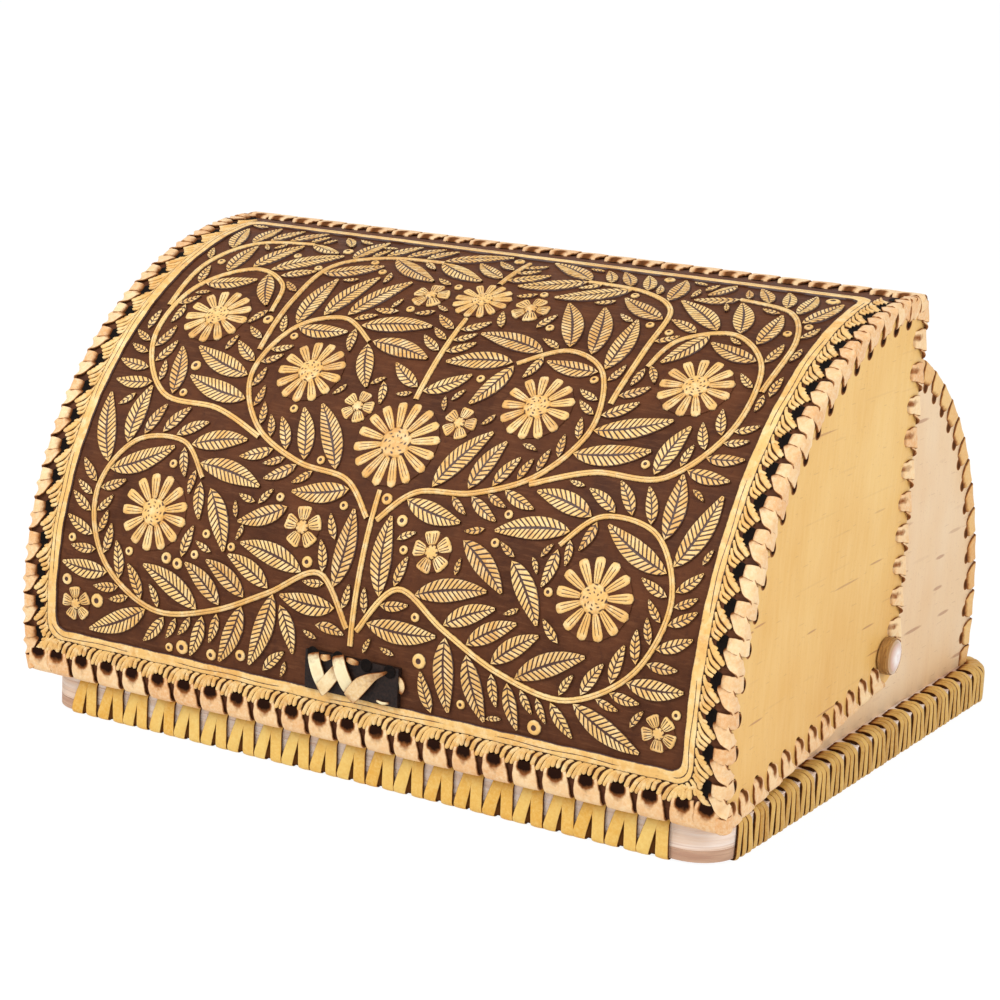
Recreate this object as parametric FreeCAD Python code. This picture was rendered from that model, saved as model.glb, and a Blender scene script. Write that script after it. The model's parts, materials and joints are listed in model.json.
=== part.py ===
"""Birch-bark bread box: a laced bark body on a wrapped base, and a quarter-round lid on two pivots.

Millimetres. X runs to the right, Y to the back and Z up. The origin is the middle of the underside of
the base. Angles on the arched pieces are counted from straight forward (0) over the top (90) to
straight back (180).
"""
import FreeCAD, Part
import cmath
import math
import os

Vec = FreeCAD.Vector
X_AXIS = Vec(1, 0, 0)
MIRROR_POINT = Vec(0, 0, 0)

# ------------------------------------------------------------------ driving sizes
# Sheet stock and lacing strip
bark_thickness = 2.0            # outer bark of the body and of the lid's sides
lining_thickness = 1.5          # inner layer behind every bark sheet
strip_thickness = 1.0           # lacing strip and base wrapping
strip_slack = 0.15              # between a strip and the sheets that it clasps
wrap_slack = 0.05               # the same for the wrapping of the base
hole_diameter = 6.2             # punched holes that the broad lacing passes through
small_hole_diameter = 5.0       # holes in the side walls at the arched seams
neck_width = 4.4                # lacing strip where it passes through a hole
stitch_width = 10.0             # lacing strip where it folds over an edge
stitch_pitch = 14.5
hole_setback = 8.8              # middle of a hole from the edge that is laced
neck_inset = 1.7                # the strip turns down this far in front of the hole's middle
seam_end_pitches = 1.2          # first stitch of the lid's arched seam from the sheet's edge, in pitches
overcut = 3.0                   # a cutting tool runs this far past the face that it opens

# Base
base_width = 348.0              # bare rim, without the wrapping
base_depth = 310.0
base_corner_radius = 18.0
lower_layer_thickness = 6.2     # layered bark under the board
board_thickness = 10.4
rim_ledge_side = 11.0           # rim left free beside the side walls
rim_ledge_rear = 10.1           # rim left free behind the back panel
wall_seat_depth = 4.0           # how deep the walls stand in the board
seat_clearance = 0.1
floor_thickness = 1.4           # bark floor sheet inside the body
floor_front_margin = 12.0       # rim left free in front of the floor sheet

# Base wrapping: flat strips in pairs, each pair through one hole in the rim
wrap_pitch_front = 14.74
wrap_pitch_side = 15.5
wrap_pair_width = 13.6
wrap_split_width = 0.8          # gap between the two strips of a pair
wrap_split_start = 2.5          # from the hole to where the pair parts
wrap_neck_width = 3.2
wrap_hole_diameter = 3.8
wrap_hole_inset = 6.3           # middle of a hole from the edge of the base
wrap_recess_width = 10.5        # underside cut back here so that the wrapping clears the table
front_wrap_margin_left = 24.4   # from the left end of the base to the first pair
front_wrap_margin_right = 28.0
rear_wrap_margin = 26.0
side_wrap_margin_front = 21.5
side_wrap_margin_rear = 24.0

# Body
body_axis_y = -1.5
body_axis_z = 42.6
back_panel_front_angle = 70.0   # the back panel reaches this far forward under the lid

# Lid
lid_axis_y = 1.8
lid_axis_z = 50.7
lid_arch_clearance = 12.7       # radius of the lid's lining beyond that of the back panel
lid_sheet_thickness = 2.4
lid_top_angle = 93.1
lid_closing_gap = 0.9           # between the lid's lacing and the wrapped rim
side_flare = 7.5                # the lid's sides lean out by this much towards the arch
side_corner_radius = 14.5       # rounding of the lid's sides about the pivot
arch_hole_setback = 7.2         # holes of the front sheet from its side edges
side_hole_drop = 8.5            # holes of the lid's sides below the front sheet's face
band_height = 0.8               # plain raised band on the front sheet
band_width = 5.0
band_root = 0.5                 # the band reaches this far into the sheet
band_corner_radius = 8.0        # outer corners of the band
band_inner_corner_radius = 6.0
band_margin_side = 13.4
band_margin_bottom = 17.0
band_margin_top = 24.0

# Carving on the front sheet, drawn flat: places are across from the middle and up the arch from the
# sheet's lower edge, on a panel of the drawn size, and follow the real panel when that changes
drawn_half = 160.6
drawn_low = 22.0
drawn_high = 270.8
carving_height = 0.6
carving_root = 0.5              # the forms reach this far into the sheet
carving_inset = 0.5             # edge of a leaf or flower inside its drawn outline
form_gap = 0.6                  # bare ground that is kept around a leaf
stem_width = 1.5
stem_room = 1.4                 # half of the lane that a stem keeps free
stem_steps = 4                  # straight pieces from one knot of a stem to the next
scroll_stems = (                # right half; the left half mirrors them
    ((2.5, 51), (20, 72), (45, 59), (74, 46), (106, 41), (135, 58), (146, 88), (133, 114), (107, 118),
     (91, 103)),
    ((2.5, 99), (18, 114), (45, 118), (72, 131), (87, 156), (79, 185), (58, 195), (38, 183)),
    ((69, 126), (96, 136), (128, 139), (148, 166), (146, 201), (125, 221), (103, 212), (97, 192)),
    ((90, 169), (91, 201), (88, 233), (67, 248), (38, 251)),
    ((152, 187), (152.5, 221), (139, 246), (112, 253)),
)
trunk_foot = 44.0
trunk_top = 264.0
side_flowers = ((112, 84, 18), (58, 162, 17), (123, 185, 17), (33, 90, 9.5), (26, 148, 8), (26, 219, 9),
                (149, 36, 8))   # across, up and radius
middle_flowers = ((0, 134, 21), (0, 221, 14))
flower_gap = 0.8                # ground that is kept around a flower
panel_gap = 1.0                 # and beside the raised band
trunk_gap = 1.0                 # from a flower to the next piece of the trunk
trunk_piece = 7.0
flower_eye = 0.34               # raised middle of a flower, as a share of its radius
flower_eye_height = 1.1
leaf_lengths = (35, 32, 29, 26)
leaf_leans = (0.9, 1.15, 0.65)  # radians between a leaf and its stem, in the order of choice
leaf_slenderness = 0.335        # width by length
leaf_widest = 10.4
leaf_fullness = 0.85            # a leaf is blunter and wider towards its foot, the smaller this is
leaf_bend = 0.35
leaf_pitch = 9.0                # nearest two leaves on one side of a stem
leaf_stalk = 2.0                # from the stem to the foot of a leaf
leaf_walk = 2.0                 # places along a stem where a leaf is tried
leaf_stations = (0.12, 0.34, 0.62, 0.86)
leaf_foot = 0.04
leaf_tip = 0.96
tab_room = 3.0                  # ground that is kept around the pull tab

# Pivots
pivot_y = 12.0
pivot_z = 52.5
pin_diameter = 4.0
pin_fit_clearance = 0.02        # radial, in the body and the washers
pin_running_clearance = 0.05    # radial, in the lid
pivot_end_gap = 0.3             # free play on each side of the lid's wall
spacer_thickness = 4.7
spacer_diameter = 16.0
disc_thickness = 4.0            # round bark disc outside the lid
disc_diameter = 17.0
cap_diameter = 15.8
cap_rim_thickness = 0.9
cap_dome_height = 1.5
inner_washer_diameter = 14.0
inner_washer_thickness = 1.5
pin_head_diameter = 8.0
pin_head_thickness = 1.0

# Pull tab
tab_left = -21.0
tab_right = 26.5
tab_height = 17.0
tab_thickness = 2.6
tab_clearance = 0.3             # between the tab and the raised band below it
tab_strip_width = 5.5
tab_strip_thickness = 0.9
tab_strip_inset = 2.0           # ends of the strips from the tab's lower and upper edge
tab_strip_gap = 0.3             # from a strip to the next one, which it is tucked under
tab_strip_places = ((10.6, 5.0), (10.8, 18.0), (25.2, 17.9), (27.6, 39.0))     # foot and top of each

# ------------------------------------------------------------------ derived sizes
base_top = lower_layer_thickness + board_thickness
wrap_recess = strip_thickness + 2 * wrap_slack
wall_thickness = bark_thickness + lining_thickness
body_half_width = base_width / 2 - rim_ledge_side
body_foot_y = base_depth / 2 - rim_ledge_rear
body_radius = math.hypot(body_foot_y - body_axis_y, body_axis_z - base_top)
wall_radius = body_radius - bark_thickness
wall_lining_radius = wall_radius - lining_thickness
side_lining_face = body_half_width - wall_thickness
wall_bottom = base_top - wall_seat_depth

lid_lining_radius = body_radius + lid_arch_clearance
lid_inner_radius = lid_lining_radius + lining_thickness
lid_radius = lid_inner_radius + lid_sheet_thickness     # outer face of the front sheet
lid_wall_inner = body_half_width + spacer_thickness + pivot_end_gap
lid_wall_face = lid_wall_inner + wall_thickness
lid_half_width = lid_wall_face + side_flare
side_slope = side_flare / lid_radius        # lean of the sides, from the arch's axis outward
lid_edge_height = base_top + strip_thickness + lid_closing_gap + strip_thickness + strip_slack
lid_bottom_angle = -math.degrees(math.asin((lid_axis_z - lid_edge_height) / lid_radius))

reach_to_edge = hole_setback - neck_inset
OUT = "parts"


# ------------------------------------------------------------------ basic shapes
def polygon_prism(points, direction):
    """Solid swept from a closed outline of points along a vector."""
    return Part.Face(Part.makePolygon(points + [points[0]])).extrude(direction)


def block(x0, x1, y0, y1, z0, z1):
    return Part.makeBox(x1 - x0, y1 - y0, z1 - z0, Vec(x0, y0, z0))


def rounded_plate(width, depth, radius, z0, z1):
    plate = block(-width / 2, width / 2, -depth / 2, depth / 2, z0, z1)
    corners = [e for e in plate.Edges if abs(e.tangentAt(e.FirstParameter).z) > 0.99]
    return plate.makeFillet(radius, corners)


def rod(diameter, x0, x1, y, z):
    """Round bar along X."""
    return Part.makeCylinder(diameter / 2, x1 - x0, Vec(x0, y, z), X_AXIS)


def arch_point(axis, radius, angle):
    """Point in the YZ plane at an angle on an arch."""
    a = math.radians(angle)
    return Vec(0, axis[0] - radius * math.cos(a), axis[1] + radius * math.sin(a))


def radial(angle):
    a = math.radians(angle)
    return Vec(0, -math.cos(a), math.sin(a))


def arch_sheet(axis, outer, inner, angle0, angle1, x0, x1):
    """Curved sheet between two radii and two angles, from x0 to x1."""
    middle = (angle0 + angle1) / 2
    p = [arch_point(axis, r, a) for r in (outer, inner) for a in (angle0, middle, angle1)]
    edges = [Part.Arc(p[0], p[1], p[2]).toShape(), Part.LineSegment(p[2], p[5]).toShape(),
             Part.Arc(p[5], p[4], p[3]).toShape(), Part.LineSegment(p[3], p[0]).toShape()]
    face = Part.Face(Part.Wire(edges))
    face.translate(Vec(x0, 0, 0))
    return face.extrude(Vec(x1 - x0, 0, 0))


def mirrored(shape):
    return shape.mirror(MIRROR_POINT, X_AXIS)


def group(shapes):
    return Part.makeCompound([s for shape in shapes for s in shape.Solids])


def export(name, shape):
    shape.exportStep(os.path.join(OUT, name + ".step"))
    print(name, len(shape.Solids), "solids", "valid" if shape.isValid() else "INVALID",
          round(shape.Volume, 1))


def export_pair(name, right_shape):
    export(name + "_right", right_shape)
    export(name + "_left", mirrored(right_shape))


# ------------------------------------------------------------------ stitches
class Stitch:
    """One closed loop of strip, and the holes that it passes through."""

    def __init__(self, loop, holes):
        self.loop = loop
        self.holes = holes

    def at(self, places):
        """Copies of the loop and of its holes at each placement."""
        loops = []
        cutters = []
        for place in places:
            loops.append(self.loop.copy())
            loops[-1].Placement = place
            for hole in self.holes:
                cutters.append(hole.copy())
                cutters[-1].Placement = place.multiply(hole.Placement)
        return loops, cutters


def strip_ring(inner, width):
    """Strip around an outline in the XZ plane: the outline is given clockwise, seen along +Y."""
    outer = offset_outline(inner, strip_thickness)
    start = Vec(0, -width / 2, 0)
    sweep = Vec(0, width, 0)
    prisms = [polygon_prism([Vec(x, 0, z) + start for x, z in line], sweep) for line in (outer, inner)]
    return prisms[0].cut(prisms[1])


def offset_outline(points, distance):
    """The same outline moved outward by a distance, with sharp corners."""
    count = len(points)
    area = sum(points[i][0] * points[(i + 1) % count][1] - points[(i + 1) % count][0] * points[i][1]
               for i in range(count))
    turn = 1 if area > 0 else -1
    moved = []
    for i, (x, z) in enumerate(points):
        before = points[i - 1]
        after = points[(i + 1) % count]
        u = unit(x - before[0], z - before[1])
        v = unit(after[0] - x, after[1] - z)
        n1 = (u[1] * turn, -u[0] * turn)
        n2 = (v[1] * turn, -v[0] * turn)
        scale = distance / (1 + n1[0] * n2[0] + n1[1] * n2[1])
        moved.append((x + (n1[0] + n2[0]) * scale, z + (n1[1] + n2[1]) * scale))
    return moved


def unit(a, b):
    length = math.hypot(a, b)
    return a / length, b / length


def edge_stitch(reach, thickness, slack, neck, wide, hole_size, inset):
    """Loop over a laced edge. Local X points to the edge, Z out of the sheet.

    The origin is where the strip turns down, and the hole's middle is an inset behind it.
    """
    inner = [(0, slack), (reach + slack, slack), (reach + slack, -thickness - slack),
             (0, -thickness - slack)]
    ring = strip_ring(inner, wide)
    far = reach + slack + 2 * strip_thickness
    low = -thickness - 3 * strip_thickness
    plan = [(-2 * strip_thickness, -neck / 2), (strip_thickness / 2, -neck / 2), (reach, -wide / 2),
            (far, -wide / 2), (far, wide / 2), (reach, wide / 2), (strip_thickness / 2, neck / 2),
            (-2 * strip_thickness, neck / 2)]
    taper = polygon_prism([Vec(x, y, low) for x, y in plan], Vec(0, 0, -low + 3 * strip_thickness))
    hole = Part.makeCylinder(hole_size / 2, thickness + 2 * overcut)
    hole.Placement = FreeCAD.Placement(Vec(-inset, 0, -thickness - overcut), FreeCAD.Rotation())
    return Stitch(ring.common(taper), [hole])


def corner_stitch(half_width, outer, inner, wall, setback, drop, slope, slack):
    """Loop over an arched seam: through the arched sheet, over the corner and through the side wall.

    Local Z is the distance from the arch's axis. The wall leans by slope towards its middle.
    """
    turn = half_width - setback + neck_inset
    low = outer - drop
    lean = slope * drop
    under = inner - slack
    inner_face = half_width - wall - slack
    section = [(turn, outer + slack), (half_width + slack, outer + slack),
               (half_width + slack - lean, low), (inner_face - lean, low),
               (inner_face - slope * (outer - under), under), (turn, under)]
    ring = strip_ring(section, neck_width)
    top_hole = Part.makeCylinder(hole_diameter / 2, outer - inner + 2 * overcut)
    top_hole.Placement = FreeCAD.Placement(Vec(half_width - setback, 0, inner - overcut), FreeCAD.Rotation())
    side_hole = Part.makeCylinder(small_hole_diameter / 2, wall + 2 * overcut)
    middle = low - strip_thickness / 2
    side_hole.Placement = FreeCAD.Placement(
        Vec(half_width - wall - lean - overcut, 0, middle), FreeCAD.Rotation(Vec(0, 1, 0), 90))
    return Stitch(ring, [top_hole, side_hole])


def frame_at(origin, towards_edge, outward):
    """Placement with local X towards the edge and local Z out of the sheet."""
    e = Vec(towards_edge).normalize()
    n = (outward - e * outward.dot(e)).normalize()
    t = n.cross(e)
    return FreeCAD.Placement(FreeCAD.Matrix(e.x, t.x, n.x, origin.x, e.y, t.y, n.y, origin.y,
                                            e.z, t.z, n.z, origin.z, 0, 0, 0, 1))


def spaced(first, last, pitch):
    """Evenly spaced values from first to last, about a pitch apart."""
    steps = max(1, round(abs(last - first) / pitch))
    return [first + (last - first) * i / steps for i in range(steps + 1)]


def on_arch(axis, angles):
    """Placements of a corner stitch at angles on an arch."""
    return [FreeCAD.Placement(Vec(0, axis[0], axis[1]), FreeCAD.Rotation(X_AXIS, 90 - a)) for a in angles]


def along_arch_edge(axis, radius, edge_angle, sign, xs):
    """Placements of an edge stitch on an arched sheet's straight edge; sign is -1 at a lower edge."""
    middle = edge_angle - sign * math.degrees(reach_to_edge / 2 / radius)
    tangent = Vec(0, math.sin(math.radians(middle)), math.cos(math.radians(middle))) * sign
    seat = arch_point(axis, radius, middle) - tangent * (reach_to_edge / 2)
    return [frame_at(seat + Vec(x, 0, 0), tangent, radial(middle)) for x in xs]


# ------------------------------------------------------------------ base
def wrap_stitch():
    """A pair of wrapping strips, one at the hole and parted towards the rim's edge."""
    reach = wrap_hole_inset - strip_thickness / 2
    pair = edge_stitch(reach, base_top - wrap_recess, wrap_slack, wrap_neck_width,
                       wrap_pair_width, wrap_hole_diameter, strip_thickness / 2)
    split = block(wrap_split_start, reach + 4 * strip_thickness, -wrap_split_width / 2,
                  wrap_split_width / 2, -base_top - strip_thickness, 2 * strip_thickness)
    return Stitch(pair.loop.cut(split), pair.holes)


def wrap_places():
    """Placements of the wrapping on each edge of the base."""
    inset = wrap_hole_inset - strip_thickness / 2
    x_edge = base_width / 2 - inset
    y_edge = base_depth / 2 - inset
    front_xs = spaced(-base_width / 2 + front_wrap_margin_left, base_width / 2 - front_wrap_margin_right,
                      wrap_pitch_front)
    rear_xs = spaced(-base_width / 2 + rear_wrap_margin, base_width / 2 - rear_wrap_margin,
                     wrap_pitch_front)
    side_ys = spaced(-base_depth / 2 + side_wrap_margin_front, base_depth / 2 - side_wrap_margin_rear,
                     wrap_pitch_side)
    up = Vec(0, 0, 1)
    return {
        "front": [frame_at(Vec(x, -y_edge, base_top), Vec(0, -1, 0), up) for x in front_xs],
        "rear": [frame_at(Vec(x, y_edge, base_top), Vec(0, 1, 0), up) for x in rear_xs],
        "right": [frame_at(Vec(x_edge, y, base_top), Vec(1, 0, 0), up) for y in side_ys],
        "left": [frame_at(Vec(-x_edge, y, base_top), Vec(-1, 0, 0), up) for y in side_ys],
    }


def wall_section(radius, x0, x1):
    """Round-topped wall standing on the seat's floor, square to X."""
    disc = Part.makeCylinder(radius, x1 - x0, Vec(x0, body_axis_y, body_axis_z), X_AXIS)
    return disc.common(block(x0, x1, -2 * radius, 2 * radius, wall_bottom, 3 * radius))


def wall_seats():
    """Grooves in the board that the walls stand in."""
    c = seat_clearance
    top = base_top + overcut
    foot = body_foot_y
    side = block(side_lining_face - c, body_half_width + c, 2 * body_axis_y - foot - c, foot + c,
                 wall_bottom, top)
    outer = Part.makeCylinder(body_radius + c, 2 * body_half_width, Vec(-body_half_width, body_axis_y,
                                                                       body_axis_z), X_AXIS)
    inner = Part.makeCylinder(wall_lining_radius - c, 2 * (body_half_width + overcut),
                              Vec(-body_half_width - overcut, body_axis_y, body_axis_z), X_AXIS)
    rear = outer.cut(inner).common(block(-body_half_width, body_half_width, 0, 2 * foot, wall_bottom, top))
    return [side, mirrored(side), rear]


def build_base():
    stitch = wrap_stitch()
    loops = {}
    holes = []
    for edge, places in wrap_places().items():
        loops[edge], cutters = stitch.at(places)
        holes += cutters
    low = rounded_plate(base_width, base_depth, base_corner_radius, wrap_recess, lower_layer_thickness)
    foot = rounded_plate(base_width - 2 * wrap_recess_width, base_depth - 2 * wrap_recess_width,
                         base_corner_radius - wrap_recess_width / 2, 0, wrap_recess)
    board = rounded_plate(base_width, base_depth, base_corner_radius, lower_layer_thickness, base_top)
    export("base_lower_layer", low.fuse(foot).removeSplitter().cut(holes))
    export("base_board", board.cut(holes + wall_seats()))
    for edge, shapes in loops.items():
        export("base_wrapping_" + edge, group(shapes))
    floor_half = side_lining_face - seat_clearance
    floor_rear = body_axis_y + math.sqrt(wall_lining_radius ** 2 - (body_axis_z - base_top) ** 2)
    export("base_floor_sheet", block(-floor_half, floor_half, -base_depth / 2 + floor_front_margin,
                                     floor_rear - seat_clearance, base_top, base_top + floor_thickness))


# ------------------------------------------------------------------ body
def build_body():
    axis = (body_axis_y, body_axis_z)
    foot_angle = 180 + math.degrees(math.asin((body_axis_z - base_top) / body_radius))
    seat_angle = 180 + math.degrees(math.asin((body_axis_z - wall_bottom) / body_radius))
    step = math.degrees(stitch_pitch / body_radius)
    front_angle = back_panel_front_angle

    corner = corner_stitch(body_half_width, body_radius, wall_lining_radius, wall_thickness,
                           arch_hole_setback, side_hole_drop, 0.0, strip_slack)
    rear_loops, rear_holes = corner.at(on_arch(axis, spaced(front_angle + step, foot_angle - step, step)))
    edge = edge_stitch(reach_to_edge, wall_thickness, strip_slack, neck_width, stitch_width,
                       hole_diameter, neck_inset)
    front_places = []
    for angle in spaced(180 - foot_angle + step, front_angle - step, step):
        seat = arch_point(axis, wall_radius - reach_to_edge, angle) + Vec(body_half_width, 0, 0)
        front_places.append(frame_at(seat, radial(angle), X_AXIS))
    front_loops, front_holes = edge.at(front_places)
    top_half = body_half_width - wall_thickness - stitch_pitch
    top_loops, top_holes = edge.at(along_arch_edge(axis, body_radius, front_angle, -1,
                                                   spaced(-top_half, top_half, stitch_pitch)))

    pivot_hole = rod(pin_diameter + 2 * pin_fit_clearance, 0, base_width, pivot_y, pivot_z)
    side = wall_section(wall_radius, body_half_width - bark_thickness, body_half_width)
    side_lining = wall_section(wall_lining_radius, side_lining_face, body_half_width - bark_thickness)
    side_cuts = rear_holes + front_holes + [pivot_hole]
    export_pair("body_side", side.cut(side_cuts))
    export_pair("body_side_lining", side_lining.cut(side_cuts))

    past_seat = seat_angle + math.degrees(overcut / body_radius)
    back = arch_sheet(axis, body_radius, wall_radius, front_angle, past_seat, -body_half_width,
                      body_half_width)
    lining_half = body_half_width - bark_thickness
    back_lining = arch_sheet(axis, wall_radius, wall_lining_radius, front_angle, past_seat,
                             -lining_half, lining_half)
    above_seat = block(-base_width, base_width, -base_depth, base_depth, wall_bottom, 2 * base_depth)
    back_cuts = rear_holes + [mirrored(h) for h in rear_holes] + top_holes
    export("body_back_panel", back.common(above_seat).cut(back_cuts))
    export("body_back_lining", back_lining.common(above_seat).cut(back_cuts))
    export_pair("body_lacing_arch", group(rear_loops))
    export_pair("body_lacing_front", group(front_loops))
    export("body_lacing_top", group(top_loops))


# ------------------------------------------------------------------ pivots
def build_pivots():
    fit_hole = rod(pin_diameter + 2 * pin_fit_clearance, 0, base_width, pivot_y, pivot_z)
    washer_inner = side_lining_face - inner_washer_thickness
    lean_reach = math.hypot(pivot_y - lid_axis_y, pivot_z - lid_axis_z) + disc_diameter / 2
    disc_inner = lid_wall_face + side_slope * lean_reach + pivot_end_gap
    disc_outer = disc_inner + disc_thickness
    pin = rod(pin_diameter, washer_inner, disc_outer, pivot_y, pivot_z)
    head = rod(pin_head_diameter, washer_inner - pin_head_thickness, washer_inner, pivot_y, pivot_z)
    export_pair("pivot_pin", pin.fuse(head).removeSplitter())
    washer = rod(inner_washer_diameter, washer_inner, side_lining_face, pivot_y, pivot_z)
    export_pair("pivot_inner_washer", washer.cut(fit_hole))
    spacer = rod(spacer_diameter, body_half_width, body_half_width + spacer_thickness, pivot_y, pivot_z)
    export_pair("pivot_spacer", spacer.cut(fit_hole))
    disc = rod(disc_diameter, disc_inner, disc_outer, pivot_y, pivot_z)
    export_pair("pivot_disc", disc.cut(fit_hole))
    rim = rod(cap_diameter, disc_outer, disc_outer + cap_rim_thickness, pivot_y, pivot_z)
    ball_radius = ((cap_diameter / 2) ** 2 + cap_dome_height ** 2) / (2 * cap_dome_height)
    ball = Part.makeSphere(ball_radius, Vec(disc_outer + cap_rim_thickness + cap_dome_height - ball_radius,
                                            pivot_y, pivot_z))
    dome = ball.common(block(disc_outer + cap_rim_thickness, base_width, pivot_y - cap_diameter,
                             pivot_y + cap_diameter, pivot_z - cap_diameter, pivot_z + cap_diameter))
    export_pair("pivot_cap", rim.fuse(dome).removeSplitter())


# ------------------------------------------------------------------ lid
LID_AXIS = (lid_axis_y, lid_axis_z)


def tangent_from(point, side):
    """Where the straight edge from a corner of the lid's side touches the rounding at the pivot."""
    dy = pivot_y - point.y
    dz = pivot_z - point.z
    distance = math.hypot(dy, dz)
    base_angle = math.atan2(-dz, -dy)
    swing = math.acos(side_corner_radius / distance)
    a = base_angle + side * swing
    return Vec(0, pivot_y + side_corner_radius * math.cos(a), pivot_z + side_corner_radius * math.sin(a))


def lid_side_corners(radius):
    """Corners and tangent points of a lid side's outline, for an arch of the given radius."""
    top = arch_point(LID_AXIS, radius, lid_top_angle)
    front = arch_point(LID_AXIS, radius, lid_bottom_angle)
    return top, tangent_from(top, -1), tangent_from(front, 1), front


def lid_side_outline(radius):
    top, rear_touch, low_touch, front = lid_side_corners(radius)
    crown = arch_point(LID_AXIS, radius, (lid_top_angle + lid_bottom_angle) / 2)
    away = (rear_touch + low_touch) * 0.5 - Vec(0, pivot_y, pivot_z)
    heel = Vec(0, pivot_y, pivot_z) + away.normalize() * side_corner_radius
    return Part.Wire([Part.Arc(front, crown, top).toShape(), Part.LineSegment(top, rear_touch).toShape(),
                      Part.Arc(rear_touch, heel, low_touch).toShape(),
                      Part.LineSegment(low_touch, front).toShape()])


def leaning_sheet(radius, face, thickness):
    """Side of the lid: a shallow cone about the arch's axis, cut to the side's outline."""
    reach = lid_radius + overcut
    lean = side_slope * reach
    section = polygon_face([Vec(face, 0, 0), Vec(face + lean, 0, reach),
                            Vec(face + lean - thickness, 0, reach), Vec(face - thickness, 0, 0)])
    section.translate(Vec(0, lid_axis_y, lid_axis_z))
    cone = section.revolve(Vec(0, lid_axis_y, lid_axis_z), X_AXIS, 360)
    prism = Part.Face(lid_side_outline(radius)).extrude(Vec(base_width, 0, 0))
    return cone.common(prism)


def polygon_face(points):
    return Part.Face(Part.makePolygon(points + [points[0]]))


def leaning_point(y, z):
    """Point on the outer face of the right side of the lid."""
    return Vec(lid_wall_face + side_slope * math.hypot(y - lid_axis_y, z - lid_axis_z), y, z)


def places_along_side_edge(start, end, first, last):
    """Placements of edge stitches along a straight edge of the lid's right side."""
    along = (end - start).normalize()
    inward = X_AXIS.cross(along)
    centre = Vec(0, pivot_y, pivot_z)
    if (centre - start).dot(inward) < 0:
        inward = inward * -1
    places = []
    for distance in spaced(first, (end - start).Length - last, stitch_pitch):
        edge = start + along * distance
        hole = edge + inward * reach_to_edge
        seat = leaning_point(hole.y, hole.z)
        rim = leaning_point(edge.y, edge.z)
        level = leaning_point(hole.y + along.y, hole.z + along.z)
        normal = (rim - seat).cross(level - seat)
        if normal.x < 0:
            normal = normal * -1
        places.append(frame_at(seat, rim - seat, normal))
    return places


def raised_band():
    """Plain raised frame on the front sheet."""
    mm = math.degrees(1 / lid_radius)
    low = lid_bottom_angle + band_margin_bottom * mm
    high = lid_top_angle - band_margin_top * mm
    half = lid_half_width - band_margin_side
    frame = arch_sheet(LID_AXIS, lid_radius + band_height, lid_radius - band_root, low, high, -half, half)
    window = arch_sheet(LID_AXIS, lid_radius + overcut, lid_radius - overcut, low + band_width * mm,
                        high - band_width * mm, -half + band_width, half - band_width)
    return round_corners(frame, band_corner_radius).cut(round_corners(window, band_inner_corner_radius))


def round_corners(sheet, radius):
    """Round the four corners of an arched sheet, seen square to its face."""
    corners = [e for e in sheet.Edges if isinstance(e.Curve, Part.Line)
               and abs(e.tangentAt(e.FirstParameter).x) < 0.01]
    return sheet.makeFillet(radius, corners)


# ------------------------------------------------------------------ carving
class Ground:
    """Square millimetres of the drawn panel that are taken."""

    def __init__(self):
        self.taken = set()

    def free(self, places):
        return all(abs(p.real) < drawn_half - panel_gap
                   and drawn_low + panel_gap < p.imag < drawn_high - panel_gap
                   and (round(p.real), round(p.imag)) not in self.taken for p in places)

    def take(self, places):
        self.taken.update((round(p.real), round(p.imag)) for p in places)

    def take_disc(self, middle, radius):
        reach = range(-math.ceil(radius), math.ceil(radius) + 1)
        self.take([middle + complex(i, j) for i in reach for j in reach if i * i + j * j <= radius * radius])

    def take_lane(self, path):
        for a, b in zip(path, path[1:]):
            pieces = math.ceil(abs(b - a))
            for i in range(pieces + 1):
                self.take_disc(a + (b - a) * i / pieces, stem_room)


def smooth_stem(knots):
    """Catmull-Rom curve through flat knots."""
    path = []
    last = len(knots) - 1
    for i in range(last):
        a, b, c, d = (complex(*knots[min(max(i + k, 0), last)]) for k in (-1, 0, 1, 2))
        for step in range(stem_steps):
            t = step / stem_steps
            path.append(0.5 * (2 * b + (c - a) * t + (2 * a - 5 * b + 4 * c - d) * t ** 2
                               + (3 * b - a - 3 * c + d) * t ** 3))
    return path + [complex(*knots[-1])]


def all_stems():
    """Scrolls of both halves, then the trunk's pieces between the middle flowers."""
    stems = [smooth_stem([(hand * x, up) for x, up in knots]) for hand in (1, -1) for knots in scroll_stems]
    ends = [trunk_foot]
    for across, up, radius in middle_flowers:
        ends += [up - radius - trunk_gap, up + radius + trunk_gap]
    ends.append(trunk_top)
    for low, high in zip(ends[::2], ends[1::2]):
        pieces = max(2, round((high - low) / trunk_piece))
        stems.append([complex(0, low + (high - low) * i / pieces) for i in range(pieces + 1)])
    return stems


def all_flowers():
    return [(complex(x, up), r) for x, up, r in middle_flowers] \
        + [(complex(hand * x, up), r) for hand in (1, -1) for x, up, r in side_flowers]


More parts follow.
